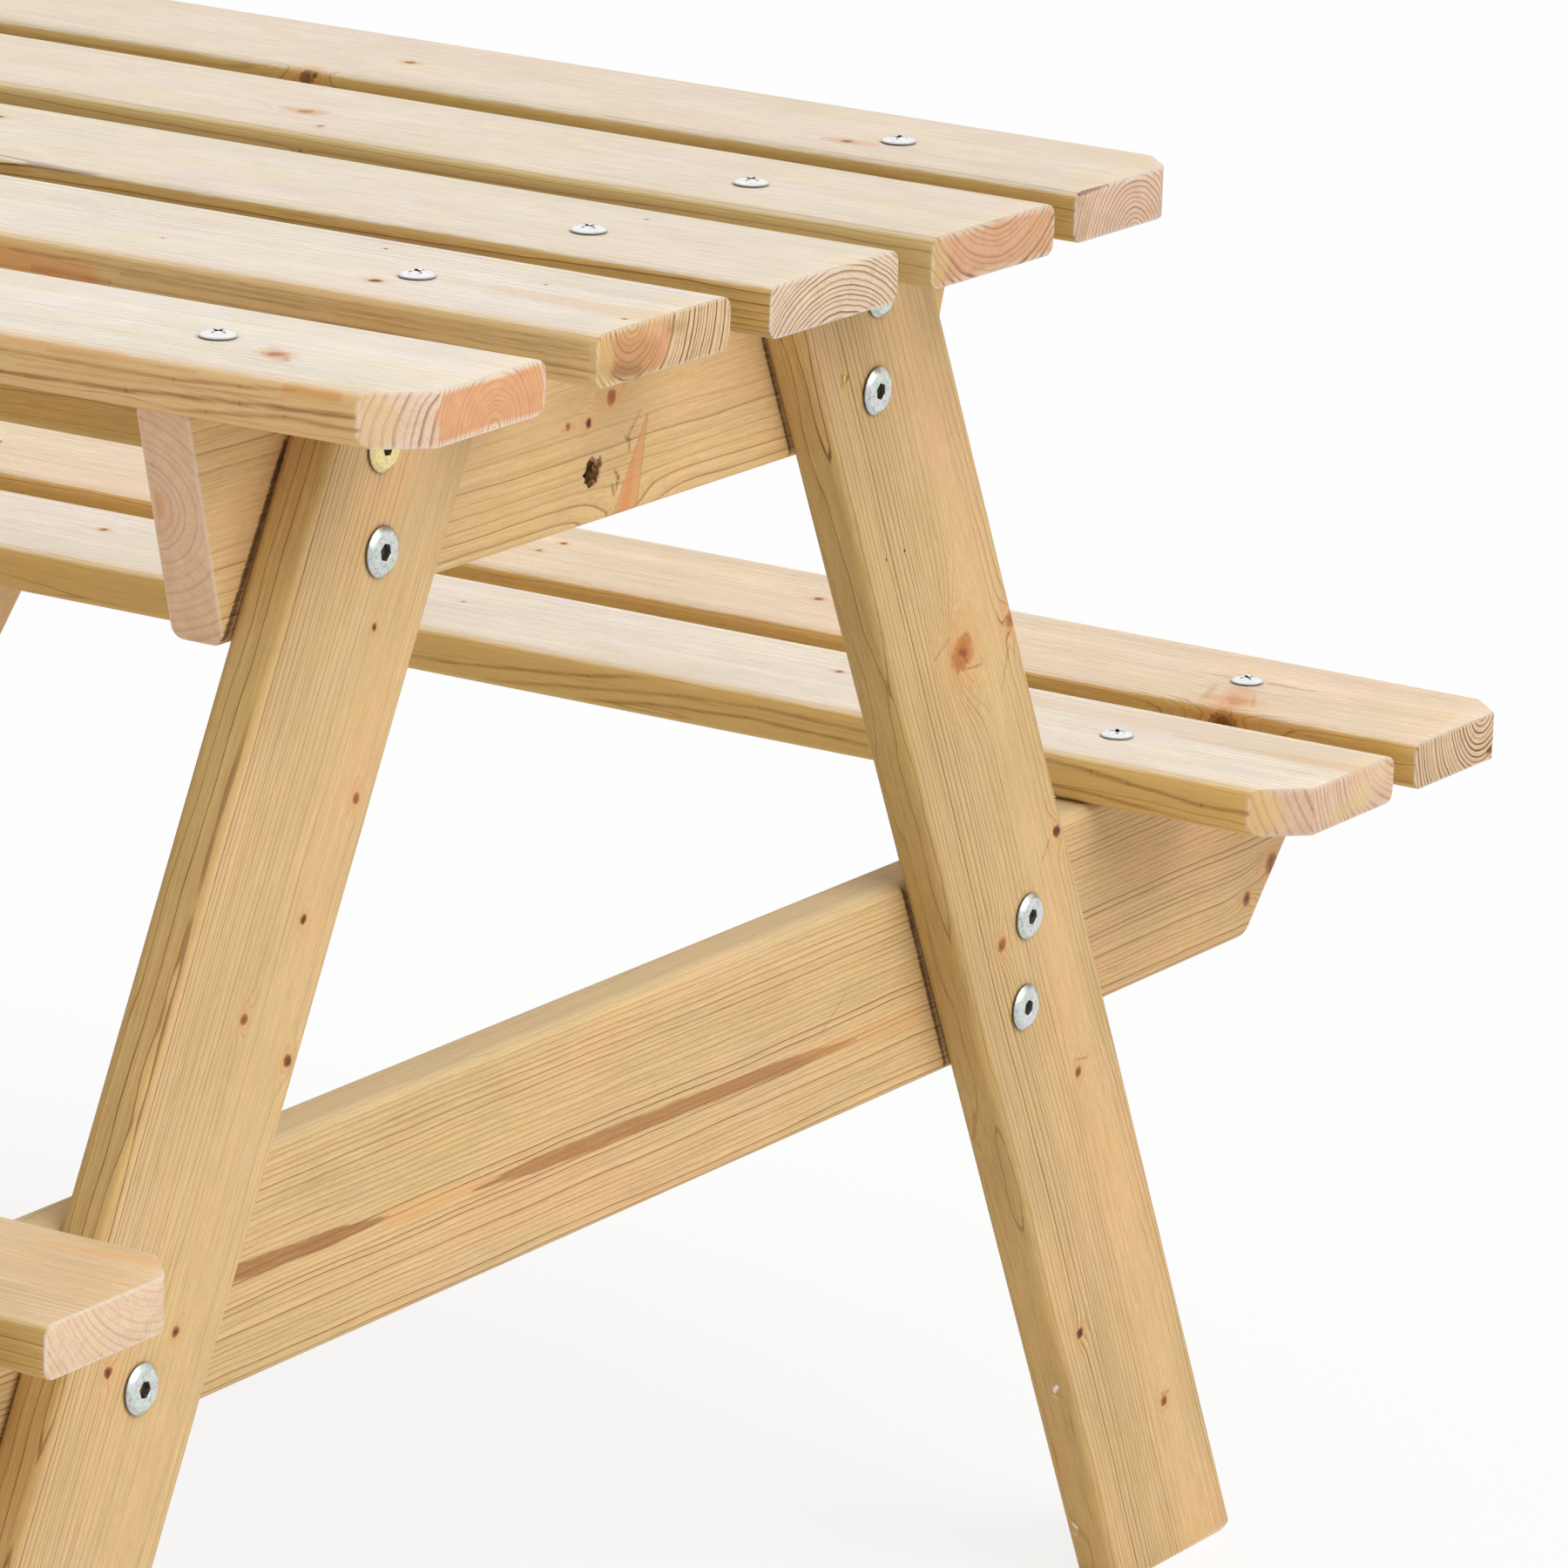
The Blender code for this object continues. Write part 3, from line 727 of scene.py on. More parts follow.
TABLETOP = {
    "tabletop_plank_1": Wood(
        (8.0, -10.0), 1.85, (0.0, 0.004), heart=28.0, heart_depth=0.95, contrast=1.5, skin=1.0, side=0.1,
        tone=(1.03, 1.04, 1.045), mottle=1.35, end_contrast=0.6, end_tint="fffcff",
        knots=[(295, -10, TOP, 2.4, 0.25)],
        streaks=[
            *on_face(DEPTH, TOP, (290, -4, 300, -15, 3.0, 5.5, "dba077", 0.42, 1.6),
                     (296, -6, 302, -15, 1.0, 2.0, "c98352", 0.4, 0.9),
                     (290, -9, 294, -14, 1.2, 1.0, "c98352", 0.35, 0.9)),
            *side_line(((-355, 0), (355, 0)), 17.0, "e6bd82", 0.5, 2.0),
            *side_line(((-200, 1.5), (278, 2.9), (300, 4.2), (318, 5.8)), 1.0, "a46a30", 0.6),
            *side_line(((-200, -6.5), (220, -3.6), (262, -2.5), (300, -0.4), (338, 1.1)), 1.2, "8d5826", 0.7),
            *side_line(((262, -8), (289, -4.7), (315, -2.5), (340, -2.5)), 1.1, "a0642e", 0.6),
            *side_line(((225, -0.6), (270, 0.6), (315, 2.6)), 0.7, "b0824a", 0.4),
            *side_line(((235, 5.2), (285, 5.9)), 0.7, "a8743a", 0.45),
            *side_line(((180, 5.5), (262, 6.8)), 2.5, "d79a5c", 0.35, 1.2),
            *side_line(((314, 6.0), (332, 5.8)), 3.0, "cf8a4a", 0.5, 1.2)
        ]),
    "tabletop_plank_2": Wood(
        (-17.0, 11.0), 1.9, (0.0, -0.004), heart=21.0, heart_depth=0.75, contrast=1.6, warmth=0.5, skin=1.0,
        side=0.15, tone=(1.02, 1.02, 1.02), mottle=1.35, end_contrast=1.15, end_tint="f2ecd9",
        knots=[(267, -17, TOP, 1.9, 0.6), (349, -12, TOP, 0.6, 1.0), (244.5, 21, TOP, 0.5, 0.9),
               (307, 11, TOP, 0.4, 0.8), (187, -10, TOP, 0.4, 0.8)],
        streaks=[
            *on_face(LENGTH, END, (-30, 0, -8, -2, 9.0, 12.0, "b98356", 0.5, 1.5),
                     (-34, -2, -14, -6, 3.0, 4.5, "7a5c34", 0.45, 1.6),
                     (-3, -4, -1, 3, 3.5, 3.5, "dc9478", 0.5, 1.5), (3, 4, 10, 3, 4.0, 3.0, "9a7a48", 0.4, 1.8)),
            *on_face(DEPTH, TOP, (300, -3, 352, -5, 6.0, 13.0, "e8bb8c", 0.42, 3.0)),
            *side_line(((-355, 0), (355, 0)), 17.0, "e3c184", 0.5, 2.0),
            *on_face(WIDTH, SIDE, (90, 0, 178, -1, 18.0, 8.0, "d88a4c", 0.5, 3.0)),
            *side_line(((158, -0.6), (186, -1.4)), 1.4, "a85f2a", 0.45, 0.9),
            *side_line(((170, 5.4), (352, 4.4)), 0.6, "8f6c34", 0.38),
            *side_line(((150, 3.8), (352, 2.4)), 0.7, "8f6c34", 0.42),
            *side_line(((190, 1.8), (352, 0.2)), 0.6, "8f6c34", 0.42),
            *side_line(((186, -1.4), (352, -2.4)), 0.7, "8f6c34", 0.42),
            *side_line(((150, -3.4), (352, -5.0)), 0.8, "8f6c34", 0.42)
        ]),
    "tabletop_plank_3": Wood(
        (2.0, -43.0), 1.7, (0.0, 0.006), heart=4.0, contrast=1.35, skin=0.86, side=0.95, mottle=1.35,
        end_contrast=1.0, end_tint="f6f8fa",
        knots=[(40, 14, TOP, 1.8, 0.5), (276, 20, TOP, 0.5, 0.8)]),
    "tabletop_plank_4": Wood(
        (2.0, 36.0), 2.3, (0.0, -0.006), heart=70.0, contrast=1.1, skin=0.8, side=0.5, tone=(1.0, 1.01, 1.02),
        mottle=1.35, end_contrast=0.8, end_tint="efe6e4",
        knots=[(106, -6, TOP, 2.2, 0.35), (125, SIDE, 2, 0.9, 1.0)],
        streaks=[
            *on_face(DEPTH, TOP, (98, -5, 109, -5.5, 5.0, 9.0, "d9ac84", 0.45, 2.0),
                     (86, -3, 93, -7, 1.0, 1.5, "cfa878", 0.35, 1.2)),
            *side_line(((-355, 0), (355, 0)), 17.0, "d1b878", 0.5, 2.0)
        ]),
    "tabletop_plank_5": Wood(
        (0.0, -14.0), 1.8, (0.0, 0.006), heart=40.0, heart_depth=0.25, contrast=0.9, skin=0.78, side=1.0,
        mottle=1.35, end_contrast=0.8, end_tint="f1eff8",
        knots=[(86, -3, TOP, 1.8, 0.2), (260, -15, TOP, 1.7, 0.65), (68, SIDE, 5, 2.6, 0.75),
               (71, SIDE, 6.5, 0.9, 1.0)],
        streaks=[
            *on_face(DEPTH, TOP, (254, -15.5, 267, -14.5, 6.0, 7.5, "e3a673", 0.35)),
            *on_face(LENGTH, END, (-33, 7.6, -16, 7.8, 1.4, 0.4, "8d5a45", 0.8)),
            *side_line(((-355, 0), (355, 0)), 17.0, "948040", 0.22, 2.0)
        ]),
}

BENCHES = {
    "rear_bench_inner_plank": Wood(
        (40.0, 20.0), 2.5, (0.0, 0.004), heart=90.0, heart_depth=0.12, contrast=1.2, skin=1.0, side=0.35,
        tone=(1.06, 1.07, 1.08), mottle=1.35, end_contrast=0.55, end_tint="f2ecef",
        knots=[(154, 8, TOP, 1.3, 0.4), (-155, 8, TOP, 1.5, 0.3), (2, 5, TOP, 0.6, 0.4)],
        streaks=[
            *on_face(LENGTH, BENCH_END, (-8, -4.5, 16, -1.5, 3.0, 8.0, "d8bf88", 0.5, 1.6),
                     (14, -2, 18, 2, 7.0, 2.0, "d8bf88", 0.45, 1.6)),
            *on_face(DEPTH, TOP, (285, 9, 356, 10, 2.0, 9.0, "dcae80", 0.45, 2.0),
                     (150, 20, 356, 18, 4.0, 26.0, "e2c39a", 0.45, 7.0)),
            *side_line(((-355, 0), (355, 0)), 17.0, "e4c070", 0.55, 2.0),
            *side_line(((8, -2.4), (35, -1.3), (80, 2.7), (101, 5.9), (120, 7.0)), 1.0, "96652c", 0.55),
            *side_line(((38, -6.1), (80, -1.5), (117, 1.9), (149, 3.3), (191, 2.2)), 1.0, "96652c", 0.5),
            *side_line(((74, -6.8), (106, -2.8), (144, -0.8), (192, -2.4)), 1.1, "96652c", 0.55),
            *side_line(((250, 5.6), (278, 4.0), (292, 2.4), (320, -0.2), (338, 0.0)), 1.3, "8a5626", 0.52),
            *side_line(((256, -3.4), (282, -3.5), (314, -6.3), (332, -7.1)), 1.2, "8d5a26", 0.55)
        ]),
    "rear_bench_outer_plank": Wood(
        (11.0, 11.0), 1.9, (0.0, 0.003), heart=3.0, contrast=1.1, warmth=1.0, skin=0.58, side=1.0,
        tone=(1.15, 1.13, 1.11), mottle=1.35, end_contrast=1.15, end_tint="ebe7de",
        knots=[(95, 1, TOP, 1.7, 0.35), (-18, 9, TOP, 1.3, 0.4), (-19, -5, TOP, 1.1, 0.35),
               (279.5, SIDE, 0.5, 5.2, 0.6)],
        streaks=[
            *on_face(DEPTH, TOP, (273, -12, 278, -27, 10.0, 12.0, "e8ab7e", 0.55, 2.2),
                     (270, -24, 283, -20, 6.0, 7.0, "e8ab7e", 0.35, 2.2),
                     (274, -17, 276, -22, 3.0, 5.0, "dc8f60", 0.35, 2.0),
                     (281, -24, 280, -28, 3.5, 4.5, "dc8f60", 0.35, 1.8),
                     (279, -13, 286, -27, 0.6, 1.4, "b07a48", 0.35, 0.8),
                     (248, 1, 266, 2, 0.8, 3.0, "c98f5c", 0.4, 1.0),
                     (276, 3, 292, 3.5, 3.2, 1.0, "c58a55", 0.55, 1.0),
                     (262, -10, 268, -28, 1.5, 3.5, "b9955c", 0.4, 1.2)),
            *on_face(LENGTH, BENCH_END, (15.8, -4.8, 17.4, -4.5, 1.6, 2.0, "4a2412", 0.85))
        ]),
    "front_bench_inner_plank": Wood(
        (22.0, 40.0), 2.1, (0.0, -0.006), heart=90.0, heart_depth=0.12, warmth=0.6, skin=0.25,
        tone=(1.065, 1.08, 1.065), end_contrast=0.25, end_tint="fbfaf9",
        knots=[(120, 10, TOP, 2.0, 0.3)],
        streaks=[
            *on_face(DEPTH, TOP, (312, 21, 347, 26, 3.0, 7.0, "efb074", 0.45, 1.5))
        ]),
    "front_bench_outer_plank": Wood(
        (-8.0, -22.0), 2.2, (0.0, 0.006), contrast=0.7, skin=0.9,
        knots=[(-60, -8, TOP, 2.2, 0.2), (180, 12, TOP, 1.5, 0.5)]),
}

LEGS = {
    "right_front_leg": Wood(
        (18.0, -20.0), 1.5, (0.0, 0.001), wander=3.5, olive=0.5, contrast=0.9, warmth=0.7, side=0.7,
        tone=(0.97, 0.97, 0.98),
        knots=[(-199, 10, FACE, 1.0, 0.7), (-152, 25, FACE, 1.5, 0.4), (-114, 16, FACE, 1.3, 0.8),
               (-81, 1, FACE, 1.5, 0.5), (-75, 28, FACE, 1.7, 0.8), (8, 11, FACE, 1.5, 0.6),
               (25, -16, FACE, 1.5, 0.8)]),
    "right_rear_leg": Wood(
        (16.0, -9.0), 1.7, (0.0, 0.012), wander=7.0, olive=0.8, contrast=1.1, warmth=0.5, side=0.75,
        tone=(0.95, 0.95, 0.95),
        knots=[(-111, 3, FACE, 5.4, 0.2), (-103, 32, FACE, 2.8, 0.15), (-4, -13, FACE, 2.2, 0.35),
               (-18, 29, FACE, 1.9, 0.9), (69, 10, FACE, 1.6, 0.6), (156, -22.5, FACE, 1.7, 1.0),
               (218, 13, FACE, 1.7, 0.6), (-164, -13, FACE, 0.5, 0.9), (-168, -23, FACE, 0.4, 0.8)],
        streaks=[
            *on_face(DEPTH, FACE, (-112.5, 1, -109.5, 5.5, 7.0, 8.5, "cf8a48", 0.4, 3.0),
                     (-112.5, 2, -110, 4.5, 1.6, 2.2, "7a3210", 0.7, 1.2),
                     (-111.5, 3, -106.5, 4.5, 1.0, 0.4, "8a4418", 0.5),
                     (-239.5, -21.2, -232.5, -21.6, 2.6, 1.6, "cfa94e", 0.75, 0.9),
                     (-238.4, -22.4, -235.4, -23.2, 0.8, 0.7, "5a4018", 0.8),
                     (-236.2, -19.4, -235.4, -20.8, 0.8, 0.6, "5a4018", 0.75),
                     (-237.0, -21.4, -236.0, -21.6, 1.0, 0.8, "f2dfa6", 0.8),
                     (-100.5, 11, -104.5, 3.5, 0.9, 0.2, "4a2f18", 0.4)),
            *on_face(WIDTH, SIDE, (170.5, 3.5, 173.0, 1.8, 1.2, 1.8, "f6eedd", 0.85),
                     (175.5, 1.0, 176.5, 2.8, 1.0, 0.7, "f0e4cc", 0.7),
                     (235.2, -4.4, 236.8, -3.2, 0.8, 1.4, "f6eedd", 0.8),
                     (239.5, -5.4, 240.6, -4.2, 0.7, 1.0, "f0e4cc", 0.7)),
            *on_face(DEPTH, FACE, (-120.6, -1.5, -119.4, -11.5, 0.3, 0.9, "6a4a26", 0.3),
                     (-95, 27, -84, 18, 0.9, 0.2, "6a4420", 0.35), (-18, 24, -14, 17, 0.7, 0.2, "6a4420", 0.35),
                     (68, 16.5, 63.5, 9.5, 0.7, 0.3, "5a3a1c", 0.35),
                     (217, 17, 214.5, 12.5, 0.8, 0.4, "5a3a1c", 0.35),
                     (153, -18, 159, -17.4, 0.3, 0.6, "6b4a24", 0.35))
        ]),
    "left_front_leg": Wood(
        (18.0, -34.0), 2.0, (0.0, 0.01), tone=(0.96, 0.96, 0.96),
        knots=[(-60, -10, FACE, 2.4, 0.3), (140, 12, FACE, 1.8, 0.4)]),
    "left_rear_leg": Wood(
        (-14.0, 36.0), 1.9, (0.0, -0.01), tone=(0.96, 0.96, 0.96),
        knots=[(30, 8, FACE, 2.6, 0.2), (-150, -14, FACE, 1.5, 0.6)]),
}

CROSS_MEMBERS = {
    # Its tone lifts its colour by about a fifth: painted light that makes up for the shade it sits in under the
    # top
    "right_top_support": Wood(
        (4.0, -11.0), 2.9, wander=3.0, contrast=0.7, side=0.0, tone=(1.19, 1.18, 1.18), end_contrast=0.22,
        end_tint="fff4ec",
        knots=[(-4, -4, FRONT, 1.3, 0.8), (8, 2, FRONT, 2.3, 0.25), (-15, -3, FRONT, 1.1, 0.1),
               (17, -37, FRONT, -5.5, 0.0)],
        streaks=[
            # The first two rows paint dark lines of shadow into the crevices along the legs' edges
            *on_face(DEPTH, FRONT, (-159.5, 18, -187.5, -35, 2.0, 2.0, "2e1a0a", 0.8),
                     (91.5, 5, 111, -36, 1.3, 1.3, "3a240e", 0.8), (28, -7, 17, -36, 0.5, 12.5, "dfa068", 0.85),
                     (21, -20, 16, -36, 1.0, 7.0, "dc8a54", 0.5, 1.2),
                     (24, -5, 17, -12.5, 0.3, 0.9, "7a5a34", 0.45),
                     (16, -11.5, 18.5, -13, 0.3, 0.8, "7a5a34", 0.6),
                     (18.5, -13, 18.6, -16.5, 0.8, 0.2, "7a5a34", 0.6),
                     (11, -21, 13, -23.5, 0.3, 0.9, "6b4a28", 0.6),
                     (13, -23.5, 12, -27.5, 0.9, 0.2, "6b4a28", 0.6),
                     (10, -26, 11, -28.5, 0.9, 0.5, "5a3c20", 0.6),
                     (0.8, -17.6, 2.8, -17.4, 1.8, 1.8, "5a3618", 0.85),
                     (2.9, -17.6, 2.7, -15.6, 1.4, 1.1, "6b4420", 0.8)),
            # Brown round the sunk screw hole's rim and down its walls, and near-black painted shade on the walls
            # deeper in
            ((-1.5, -19.5, 3.6), (-1.5, -19.5, -3), 13.5, 13.5, "9a6a34", 0.8),
            ((-1.5, -19.5, 2.0), (-1.5, -19.5, -3), 11.0, 11.0, "3e2410", 0.85, 1.5)
        ]),
    "right_seat_support": Wood(
        (-75.0, -25.0), 1.7, wander=3.0, olive=0.5, contrast=1.1, warmth=0.6, side=0.0,
        knots=[(414, -21, FRONT, 2.2, 0.5), (430, -12, FRONT, 3.4, 0.3)],
        streaks=[
            ((-460, -SIDE, 0), (460, -SIDE, 0), 17.0, 17.0, "d3c49f", 0.5, 2.0),
            # The first row paints a dark line of shadow into the crevice along the leg's edge
            *on_face(DEPTH, FRONT, (186.5, 34, 218, -33, 1.5, 1.5, "3a240e", 0.8),
                     (-200, 0.5, -98, -2.5, 4.9, 0.0, "9a6433", 0.85, 0.5, 0.7),
                     (-98, -3.5, -50, -5, 6.0, 4.0, "dca063", 0.45, 1.5),
                     (40, -7.5, -54, -6, 4.6, 0.0, "a06b38", 0.82, 0.5, 0.65),
                     (40, -7.5, 162, -10.5, 4.6, 0.0, "a06b38", 0.82, 0.5, 0.7),
                     (130, -8, 196, -12, 3.0, 9.0, "d9a060", 0.35, 2.5),
                     (140, -4, 154, 6, 0.4, 0.4, "a57c48", 0.35))
        ]),
    "left_top_support": Wood(
        (60.0, -30.0), 2.8, wander=4.0, side=0.0,
        knots=[(60, 8, FRONT, 2.2, 0.3)],
        streaks=[
            # Brown round the sunk screw hole's rim and down its walls, and near-black painted shade on the walls
            # deeper in
            ((-1.5, -19.5, -3.6), (-1.5, -19.5, 3), 13.5, 13.5, "9a6a34", 0.8),
            ((-1.5, -19.5, -2.0), (-1.5, -19.5, 3), 11.0, 11.0, "3e2410", 0.85, 1.5)
        ]),
    "left_seat_support": Wood(
        (-6.0, 26.0), 2.0, wander=4.0, side=0.0,
        knots=[(-120, -10, FRONT, 2.0, 0.3), (210, 14, FRONT, 1.6, 0.5)]),
    "centre_rail": Wood(
        (-8.0, -30.0), 1.9, (0.0, 0.004), olive=0.9, contrast=0.75, side=0.0, tone=(0.87, 0.83, 0.55),
        knots=[(80, 6, FRONT, 1.8, 0.4)]),
}

SMOOTH_CORNERS = ("tabletop_plank_5", "front_bench_inner_plank")
SUNK_SCREWS = {"right_top_support": "rail_screw_right", "left_top_support": "rail_screw_left"}
HOLE_SIDES = 22
# A sunk screw's hole as (depth, radius), from the screw outwards. Each radius is roughened by chance, but the
# last row lies clear of the board and keeps the shape of the row before it.
HOLE_ROWS = ((-0.0002, 0.0044), (0.0009, 0.0042), (0.0019, 0.0046), (0.0030, 0.0041), (0.0040, 0.0044),
             (0.0046, 0.0045), (0.02, 0.0045))


def sink_screw(mesh, turn, low, high):
    """Cuts a ragged hole into a top support over its sunk screw. low and high are the screw's box."""
    ends = [turn.inverted() @ corner for corner in (low, high)]
    middle = (ends[0] + ends[1]) / 2
    way = -math.copysign(1.0, middle.z)
    outer = max(way * end.z for end in ends)
    chance = random.Random(11)
    bm = bmesh.new()
    rows = []
    for depth, size in HOLE_ROWS:
        if len(rows) < len(HOLE_ROWS) - 1:
            spread = [size * chance.uniform(0.74, 1.17) for _ in range(HOLE_SIDES)]
        rows.append([bm.verts.new((middle.x + reach * math.cos(math.tau * i / HOLE_SIDES),
                                   middle.y + reach * math.sin(math.tau * i / HOLE_SIDES), way * (outer + depth)))
                     for i, reach in enumerate(spread)])
    for one, two in zip(rows, rows[1:]):
        for i in range(HOLE_SIDES):
            bm.faces.new((one[i], one[(i + 1) % HOLE_SIDES], two[(i + 1) % HOLE_SIDES], two[i]))
    bm.faces.new(rows[0][::-1])
    bm.faces.new(rows[-1])
    bmesh.ops.recalc_face_normals(bm, faces=bm.faces[:])
    cutter = new_object("hole", fill(bpy.data.meshes.new("hole"), bm))
    board = new_object("drilled", mesh)
    cut = board.modifiers.new("cut", "BOOLEAN")
    cut.operation = "DIFFERENCE"
    cut.solver = "EXACT"
    cut.object = cutter
    drilled = bpy.data.meshes.new_from_object(board.evaluated_get(bpy.context.evaluated_depsgraph_get()))
    bm = bmesh.new()
    bm.from_mesh(drilled)
    fill(mesh, bm)
    spent = cutter.data
    for obj in (cutter, board):
        bpy.data.objects.remove(obj)
    for left in (spent, drilled):
        bpy.data.meshes.remove(left)


BOARD_CREASE = math.radians(32)


def make_boards(context, table, along, outward, edge, first_seed):
    """Makes the boards of a table, each with its own seed of chance for its rings and fibres."""
    timber = context.scene.timber
    groups = {"knot": bpy.data.node_groups.get("knot") or knot_group(),
              "streak": bpy.data.node_groups.get("streak") or streak_group(),
              "softwood": bpy.data.node_groups.get("softwood") or softwood_group(timber)}
    for number, (node, wood) in enumerate(table.items()):
        turn, half, planes = axes_of(node, along, outward)
        name = node + "_wood"
        if node in SMOOTH_CORNERS:
            planes = round_corners(planes, timber.worn_corner)
        mesh = board_mesh(name, half, planes, edge, timber.sawn_edge)
        if node in SUNK_SCREWS:
            sink_screw(mesh, turn, *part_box(SUNK_SCREWS[node]))
        mesh.transform(turn)
        mesh.shade_smooth()
        mesh.set_sharp_from_angle(angle=BOARD_CREASE)
        obj = new_object(name, mesh)
        material = wood_material(name, wood, 1.0 + first_seed + 1.37 * number, (turn, half), groups, timber)
        mesh.materials.append(material)
        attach(obj, "root")
        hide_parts(node)


class PICNIC_OT_tabletop(bpy.types.Operator):
    """Makes the five planks of the top"""
    bl_idname = "picnic.tabletop"
    bl_label = "Tabletop"

    def execute(self, context):
        make_boards(context, TABLETOP, RIGHT, UP, context.scene.timber.plank_edge, first_seed=0.0)
        return {"FINISHED"}


class PICNIC_OT_benches(bpy.types.Operator):
    """Makes the four planks of the two benches"""
    bl_idname = "picnic.benches"
    bl_label = "Benches"

    def execute(self, context):
        make_boards(context, BENCHES, RIGHT, UP, context.scene.timber.plank_edge, first_seed=20.0)
        return {"FINISHED"}


class PICNIC_OT_legs(bpy.types.Operator):
    """Makes the four legs"""
    bl_idname = "picnic.legs"
    bl_label = "Legs"

    def execute(self, context):
        make_boards(context, LEGS, DOWN, RIGHT, context.scene.timber.frame_edge, first_seed=40.0)
        return {"FINISHED"}


class PICNIC_OT_cross_members(bpy.types.Operator):
    """Makes the cross members of the end frames, and the rail between them"""
    bl_idname = "picnic.cross_members"
    bl_label = "Cross Members"

    def execute(self, context):
        edge = context.scene.timber.frame_edge
        supports = {node: wood for node, wood in CROSS_MEMBERS.items() if node != "centre_rail"}
        make_boards(context, supports, REAR, RIGHT, edge, first_seed=60.0)
        rail = {"centre_rail": CROSS_MEMBERS["centre_rail"]}
        make_boards(context, rail, RIGHT, FORWARD, edge, first_seed=80.0)
        return {"FINISHED"}


# Bolts and screws


HEAD_SIDES = 60
HEAD_LIP = 0.00015  # Width of the eased rim of the socket
SHOULDER_RINGS = 6
HEAD_CREASE = math.radians(22)
YELLOW_BOLT = "bolt_right_front_top_upper"


def head_tree():
    """Geometry Nodes that turn one lathed head with a socket and a shank, and set it on every point."""
    numbers = ("Head Diameter", "Head Height", "Head Rim", "Shoulder", "Straightness", "Shoulder Shade",
               "Socket Width", "Socket Depth", "Socket Sides", "Socket Waist", "Shank Diameter", "Shank Length",
               "Point Length")
    tree, given = new_group(
        "fastener", {"Geometry": "Geometry", **dict.fromkeys(numbers, "Float"), "Material": "Material"},
        {"Geometry": "Geometry"}, "GeometryNodeTree")
    tree.is_modifier = True

    # One row of the grid is one ring of the lathed head, from the socket's floor to the shank's tip
    across, around, _ = add("GeometryNodeInputPosition", tree=tree).parts()
    angle = (around + 0.5) * math.tau
    sides = given["Socket Sides"]
    pitch = math.tau / sides
    turned = calc("FLOORED_MODULO", angle, pitch) - pitch * 0.5
    lobes = calc("ABSOLUTE", calc("COSINE", angle * sides * 0.5))
    socket = (given["Socket Width"] * 0.5 / calc("COSINE", turned)
              * (1.0 - given["Socket Waist"] * (1.0 - lobes * lobes)))
    head, height, rim = given["Head Diameter"] * 0.5, given["Head Height"], given["Head Rim"]
    shoulder, shank, length = given["Shoulder"], given["Shank Diameter"] * 0.5, given["Shank Length"]
    floor = height - given["Socket Depth"]
    rings = [(0.0, floor), (socket * 0.8, floor), (socket, height - HEAD_LIP), (socket + HEAD_LIP, height),
             (socket + HEAD_LIP * 1.6, height), (head - shoulder - HEAD_LIP, height)]
    for i in range(SHOULDER_RINGS):
        share = i / (SHOULDER_RINGS - 1)
        drop = given["Straightness"] * (share - share ** 3) + share ** 3
        rings.append((head - shoulder * (1 - share), rim + (height - rim) * (1.0 - drop)))
    rings += [(head, rim * 0.25), (head - 0.0003, 0.0), (shank, 0.0), (shank, given["Point Length"] - length),
              (0.0, -length)]
    row = (across + 0.5) * float(len(rings) - 1)
    out, up = 0.0, 0.0
    for number, (ring_radius, ring_height) in enumerate(rings):
        here = calc("COMPARE", row, float(number), 0.4)
        out = here * ring_radius + out
        up = here * ring_height + up
    grid = add("GeometryNodeMeshGrid", {"Vertices X": len(rings), "Vertices Y": HEAD_SIDES + 1}, tree=tree)
    # Rows that the material darkens: the socket's floor and walls get painted shade, the shoulder a dark painted
    # reflection of the wood, and the rim and what lies under it a painted contact shadow
    painted_shade = (calc("LESS_THAN", row, 2.5) + calc("GREATER_THAN", row, 6.5) * given["Shoulder Shade"]
            + calc("GREATER_THAN", row, 10.5) * 0.46 + calc("GREATER_THAN", row, 11.5) * 0.36)
    hollow = add("GeometryNodeStoreNamedAttribute", {"Geometry": grid, "Name": "hollow", "Value": painted_shade},
                 data_type="FLOAT", domain="POINT")
    lathed = add("GeometryNodeSetPosition",
                 {"Geometry": hollow, "Position": join(out * calc("COSINE", angle),
                                                       out * calc("SINE", angle), up)})
    merged = add("GeometryNodeMergeByDistance", {"Geometry": lathed, "Distance": 0.00001})

    # Set it on the points, each turned round its own axis by chance
    faced = add("GeometryNodeInputNamedAttribute", {"Name": "facing"}, "Attribute", tree,
                data_type="FLOAT_VECTOR")
    aimed = add("FunctionNodeAlignRotationToVector", {"Vector": faced}, axis="Z")
    put = add("GeometryNodeInstanceOnPoints",
              {"Points": given["Geometry"], "Instance": merged, "Rotation": aimed})
    chance = add("FunctionNodeRandomValue", {"Max": math.tau, "Seed": 7}, "Value", tree)
    spun = add("GeometryNodeRotateInstances", {"Instances": put, "Rotation": join(0.0, 0.0, chance)})
    real = add("GeometryNodeRealizeInstances", {"Geometry": spun})
    painted = add("GeometryNodeSetMaterial", {"Geometry": real, "Material": given["Material"]})
    close_group(tree, Geometry=painted)
    return tree


